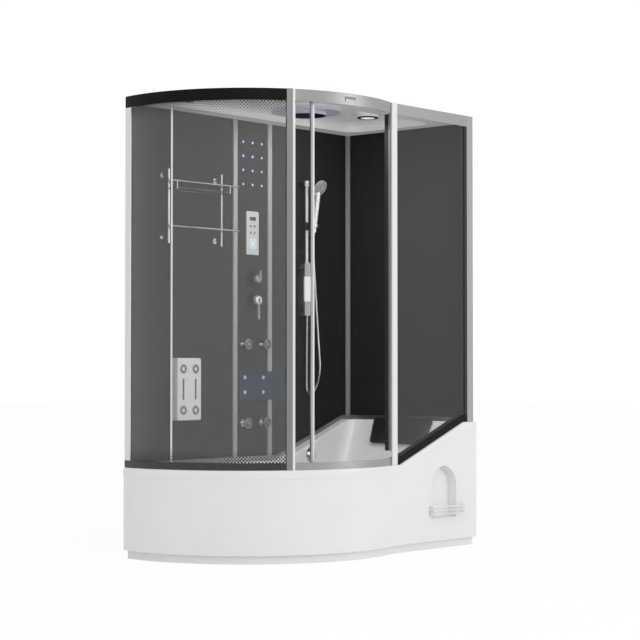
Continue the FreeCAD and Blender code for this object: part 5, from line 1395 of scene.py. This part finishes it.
@dataclass
class HandShower(Cabin):
    """Slide bar, slider, hand shower and hose.

    Attributes:
        route: The hose's corners, as in the solid.
        hose_radius: Radius of the hose.
        parting: Height where the hose is parted, since a piece bends across one joint only.
        bend_shares: Where the lower part's bend starts and ends, as shares of the way from the
            hand shower to the outlet.
        neck: Length of the hose in the nut, which keeps straight.
        nut_radii: Bore of a nut, and its outside at the wide and the narrow end.
        nut_lengths: Length of the outlet's nut and of the hand shower's.
        pivot: Where the hand shower tilts.
        lean: Forward lean of the hand shower in degrees.
        head_reach: Distance of the spray plate from the pivot along the lean, and in front of it.
        head_turn: Angle of the spray plate from lying flat, in degrees.
        plate_size: Radius and thickness of the spray plate.
        plate_steps: Insets and rises of its face, from the rim inwards.
        ring_nubs: Radius of each ring of spray nubs and how many it has.
        nub_size: Radius and height of a nub.
        nub_steps: Insets and rises of its tip.
        plate_sunk: How deep the plate's back sits in the head.
    """

    route: tuple[Point, ...] = (
        (0.428, 0.391, 1.320), (0.428, 0.391, 1.240), (0.4297, 0.3959, 1.120), (0.4306, 0.3982, 0.960),
        (0.4308, 0.3990, 0.853), (0.4309, 0.3991, 0.789), (0.4232, 0.3775, 0.7651),
        (0.4121, 0.3463, 0.7639), (0.3955, 0.2999, 0.8078), (0.3852, 0.2708, 0.857),
        (0.3822, 0.2624, 0.915), (0.3866, 0.2746, 0.999), (0.3914, 0.2883, 1.119),
        (0.3983, 0.3076, 1.288), (0.4050, 0.3264, 1.458), (0.4040, 0.3319, 1.5559),
        (0.404, 0.32362, 1.61512))
    hose_radius: float = 0.006
    parting: float = 1.50
    bend_shares: Pair = (0.95, 0.12)
    neck: float = 0.012
    nut_radii: Point = (0.0064, 0.0104, 0.0084)
    nut_lengths: Pair = (0.024, 0.012)
    pivot: Point = (0.404, 0.319, 1.648)
    lean: float = 8.0
    head_reach: Pair = (0.196, 0.012)
    head_turn: float = 120.0
    plate_size: Pair = (0.0356, 0.0016)
    plate_steps: Steps = ((0.003, 0.0006), (0.012, 0.0), (0.0, -0.0005))
    ring_nubs: tuple[tuple[float, int], ...] = ((0.009, 6), (0.016, 12), (0.023, 18), (0.029, 24))
    nub_size: Pair = (0.0013, 0.0014)
    nub_steps: Steps = ((0.0005, 0.0004),)
    plate_sunk: float = 0.0019

    def build(self) -> None:
        """Dress the hand shower set."""
        self.cover(CHROME_TUBE, "handset")
        self.cover(SLIDE_BAR_PARTS, "slide_bar")
        self.cover(NYLON, "shower_slider")
        self.hose()
        self.nuts()
        self.spray_plate()

    def nuts(self) -> None:
        """Model the cone nuts that hold the hose at both ends."""
        lean = Matrix.Rotation(math.radians(self.lean), 4, "X")
        places = (Matrix.Translation(self.route[0]), Matrix.Translation(self.route[-1]) @ lean)
        bore, wide, narrow = self.nut_radii
        for name, body, place, length in zip(("outlet_hose_nut", "handset_hose_nut"),
                                             ("cabin", "hand_shower"), places, self.nut_lengths):
            obj = spun(name, [(bore, 0.0), (wide, 0.0), (narrow, -length), (bore, -length)])
            soften(obj, 0.0006)
            fit(obj, place, CHROME, body, "chrome")

    def hose(self) -> None:
        """Lay the hose as a smooth line, make it a tube and part it in two."""
        data = bpy.data.curves.new("hose_line", "CURVE")
        data.dimensions = "3D"
        data.resolution_u = 16
        line = data.splines.new("NURBS")
        line.points.add(len(self.route) - 1)
        for point, place in zip(line.points, self.route):
            point.co = (*place, 1.0)
        line.order_u = 3
        line.use_endpoint_u = True
        holder = bpy.data.objects.new("hose_line", data)
        bpy.context.scene.collection.objects.link(holder)
        path = [tuple(v.co) for v in self.curve_mesh(holder).vertices]
        data.bevel_depth = self.hose_radius
        data.bevel_resolution = 6
        data.use_fill_caps = True
        tube = self.curve_mesh(holder)
        bpy.data.objects.remove(holder)
        split = next(i for i in reversed(range(len(path))) if path[i][2] < self.parting) + 1
        below, above = Vector(path[split - 1]), Vector(path[split])
        cut = tuple(below.lerp(above, (self.parting - below.z) / (above.z - below.z)))
        outlet, foot = Vector(self.route[0]), Vector(self.route[-1])
        away = (outlet - foot) * Vector((1, 1, 0))
        start, end = (foot + away * share for share in self.bend_shares)
        self.hose_length("hand_shower_hose", tube, [*path[:split], cut], ("cabin", "slider"),
                         (start, end), ("shower_hose",))
        self.hose_length("hand_shower_hose_top", tube, [cut, *path[split:]], ("slider", "hand_shower"),
                         (Vector(cut), foot - Vector((0, 0, self.neck))), ())

    def curve_mesh(self, holder: Object) -> Mesh:
        """Read a curve as it stands.

        Args:
            holder: Curve object in the scene.

        Returns:
            Its mesh: a line of points, or a tube where the curve has a bevel.
        """
        bpy.context.view_layer.update()
        graph = bpy.context.evaluated_depsgraph_get()
        return bpy.data.meshes.new_from_object(holder.evaluated_get(graph))

    def hose_length(self, name: str, tube: Mesh, path: Sequence[Point], bodies: tuple[str, str],
                    bend: tuple[Vector, Vector], nodes: tuple[str, ...]) -> None:
        """Keep the part of the hose on one side of its parting.

        Args:
            name: Name of the piece.
            tube: Mesh of the whole hose.
            path: Points that this part follows.
            bodies: Body at its start and body at its end.
            bend: Where it leaves the first body and where it reaches the second; not used.
            nodes: CAD nodes that it stands for.
        """
        obj = bpy.data.objects.new(name, tube.copy())
        obj.data.name = name
        bpy.context.scene.collection.objects.link(obj)
        low = min(point[2] for point in path) < self.parting - self.hose_radius
        with editing(obj, "SELECT"):
            bpy.ops.mesh.bisect(plane_co=(0, 0, self.parting), plane_no=(0, 0, 1), use_fill=True,
                                clear_outer=low, clear_inner=not low)
        bpy.ops.object.shade_smooth_by_angle(angle=math.radians(50))
        dress(obj, SILVER_HOSE)
        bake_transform(obj)
        if nodes:
            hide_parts(*nodes)
        log.info("%s bends between %s and %s", name, *bodies)

    def spray_plate(self) -> None:
        """Model the hand shower's spray plate with its rings of nubs."""
        radius, thick = self.plate_size
        plate = disc("hand_plate", radius, thick, segments=64)
        step_top(plate, self.plate_steps)
        soften(plate, 0.0004)
        dress(plate, GREY_RING)
        nub = disc("hand_nub", *self.nub_size, segments=8)
        step_top(nub, self.nub_steps)
        dress(nub, WHITE_ABS)
        obj = join("hand_spray_plate", [plate, copies(nub, ring_places(self.ring_nubs, thick))])
        lean = math.radians(self.lean)
        along, ahead = self.head_reach
        head = Vector(self.pivot) + Vector((0, -along * math.sin(lean) - ahead, along * math.cos(lean)))
        put(obj, Matrix.Translation(head) @ Matrix.Rotation(math.radians(self.head_turn), 4, "X")
            @ Matrix.Translation((0, 0, -self.plate_sunk)))
        settle(obj, "hand_shower", "chrome")


@dataclass(frozen=True)
class AreaLamp:
    """Square area lamp that faces a target.

    Attributes:
        name: Name of the lamp.
        place: Its middle.
        target: Point that it faces.
        size: Length of a side.
        power: Power in watts.
        shows: Whether it shows to the eye, in reflections and through glass.
    """

    name: str
    place: Point
    target: Point
    size: float
    power: float
    shows: bool = True

    def hang(self) -> None:
        """Add the lamp to the scene."""
        data = bpy.data.lights.new(self.name, "AREA")
        data.size, data.energy = self.size, self.power
        obj = bpy.data.objects.new(self.name, data)
        obj.location = self.place
        obj.rotation_euler = (Vector(self.target) - Vector(self.place)).to_track_quat("-Z", "Y").to_euler()
        obj.visible_camera = obj.visible_glossy = obj.visible_transmission = self.shows
        bpy.context.scene.collection.objects.link(obj)


@dataclass
class Studio:
    """Floor, light and camera.

    Attributes:
        eye: Camera's place in metres.
        ahead: Camera's viewing direction.
        lens: Focal length in millimetres.
        sensor: Width of the sensor in millimetres.
        far: Distance up to which the camera sees.
        floor_size: Length of the floor's sides.
        floor_level: Height of the floor, just under the feet.
        surround: Strength of the surround as light and as the eye sees it.
        lamps: Two outside and one under the roof.
    """

    eye: Point = (-6.712, -5.893, 0.903)
    ahead: Point = (0.75504, 0.65524, 0.0266)
    lens: float = 101.58
    sensor: float = 36.0
    far: float = 200.0
    floor_size: float = 60.0
    floor_level: float = -0.001
    surround: Pair = (0.72, 1.0)
    lamps: tuple[AreaLamp, ...] = (
        AreaLamp("key_light", (-3.4, -4.2, 5.2), (0, 0, 1.0), 3.6, 92),
        AreaLamp("front_light", (3.3, -6.0, 1.9), (0, 0, 1.2), 2.2, 68),
        AreaLamp("cabin_light", (0.05, -0.05, 2.12), (0.25, 0.15, 0.4), 0.5, 5.5, shows=False))

    def build(self) -> None:
        """Set the stage."""
        self.floor()
        self.world()
        for lamp in self.lamps:
            lamp.hang()
        self.camera()
        bpy.context.scene.view_settings.view_transform = "Standard"

    def floor(self) -> None:
        """Lay the pale floor."""
        clear_selection()
        bpy.ops.mesh.primitive_plane_add(size=self.floor_size, location=(0, 0, self.floor_level))
        obj = take("floor")
        bpy.ops.object.transform_apply(location=True)
        dress(obj, PaleFloor())

    def world(self) -> None:
        """Set the pale surround: white to the eye, softer as light."""
        world = bpy.data.worlds.new("studio")
        bpy.context.scene.world = world
        world.use_nodes = True
        tree = world.node_tree
        tree.nodes.clear()
        as_light, to_eye = self.surround
        strength = add_node(tree, "ShaderNodeMapRange", {3: as_light, 4: to_eye}, {0: seen(tree)})
        back = add_node(tree, "ShaderNodeBackground", {"Color": WHITE}, {"Strength": strength.outputs[0]})
        add_node(tree, "ShaderNodeOutputWorld", None, {"Surface": back.outputs[0]})

    def camera(self) -> None:
        """Set the camera at the photograph's angle."""
        data = bpy.data.cameras.new("camera")
        data.lens, data.sensor_width = self.lens, self.sensor
        data.clip_end = self.far
        obj = bpy.data.objects.new("camera", data)
        obj.location = self.eye
        obj.rotation_euler = Vector(self.ahead).to_track_quat("-Z", "Y").to_euler()
        bpy.context.scene.collection.objects.link(obj)
        bpy.context.scene.camera = obj


def main() -> None:
    """Load the frame, set the stage and dress every sub-assembly."""
    logging.basicConfig(level=logging.INFO, format="%(message)s")
    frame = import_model()
    Studio().build()
    for part in (HandShower, Tub, Enclosure, Door, Walls, Column, Fittings):
        part(frame["nodes"]).build()
    clear_selection()


if __name__ == "__main__":
    main()
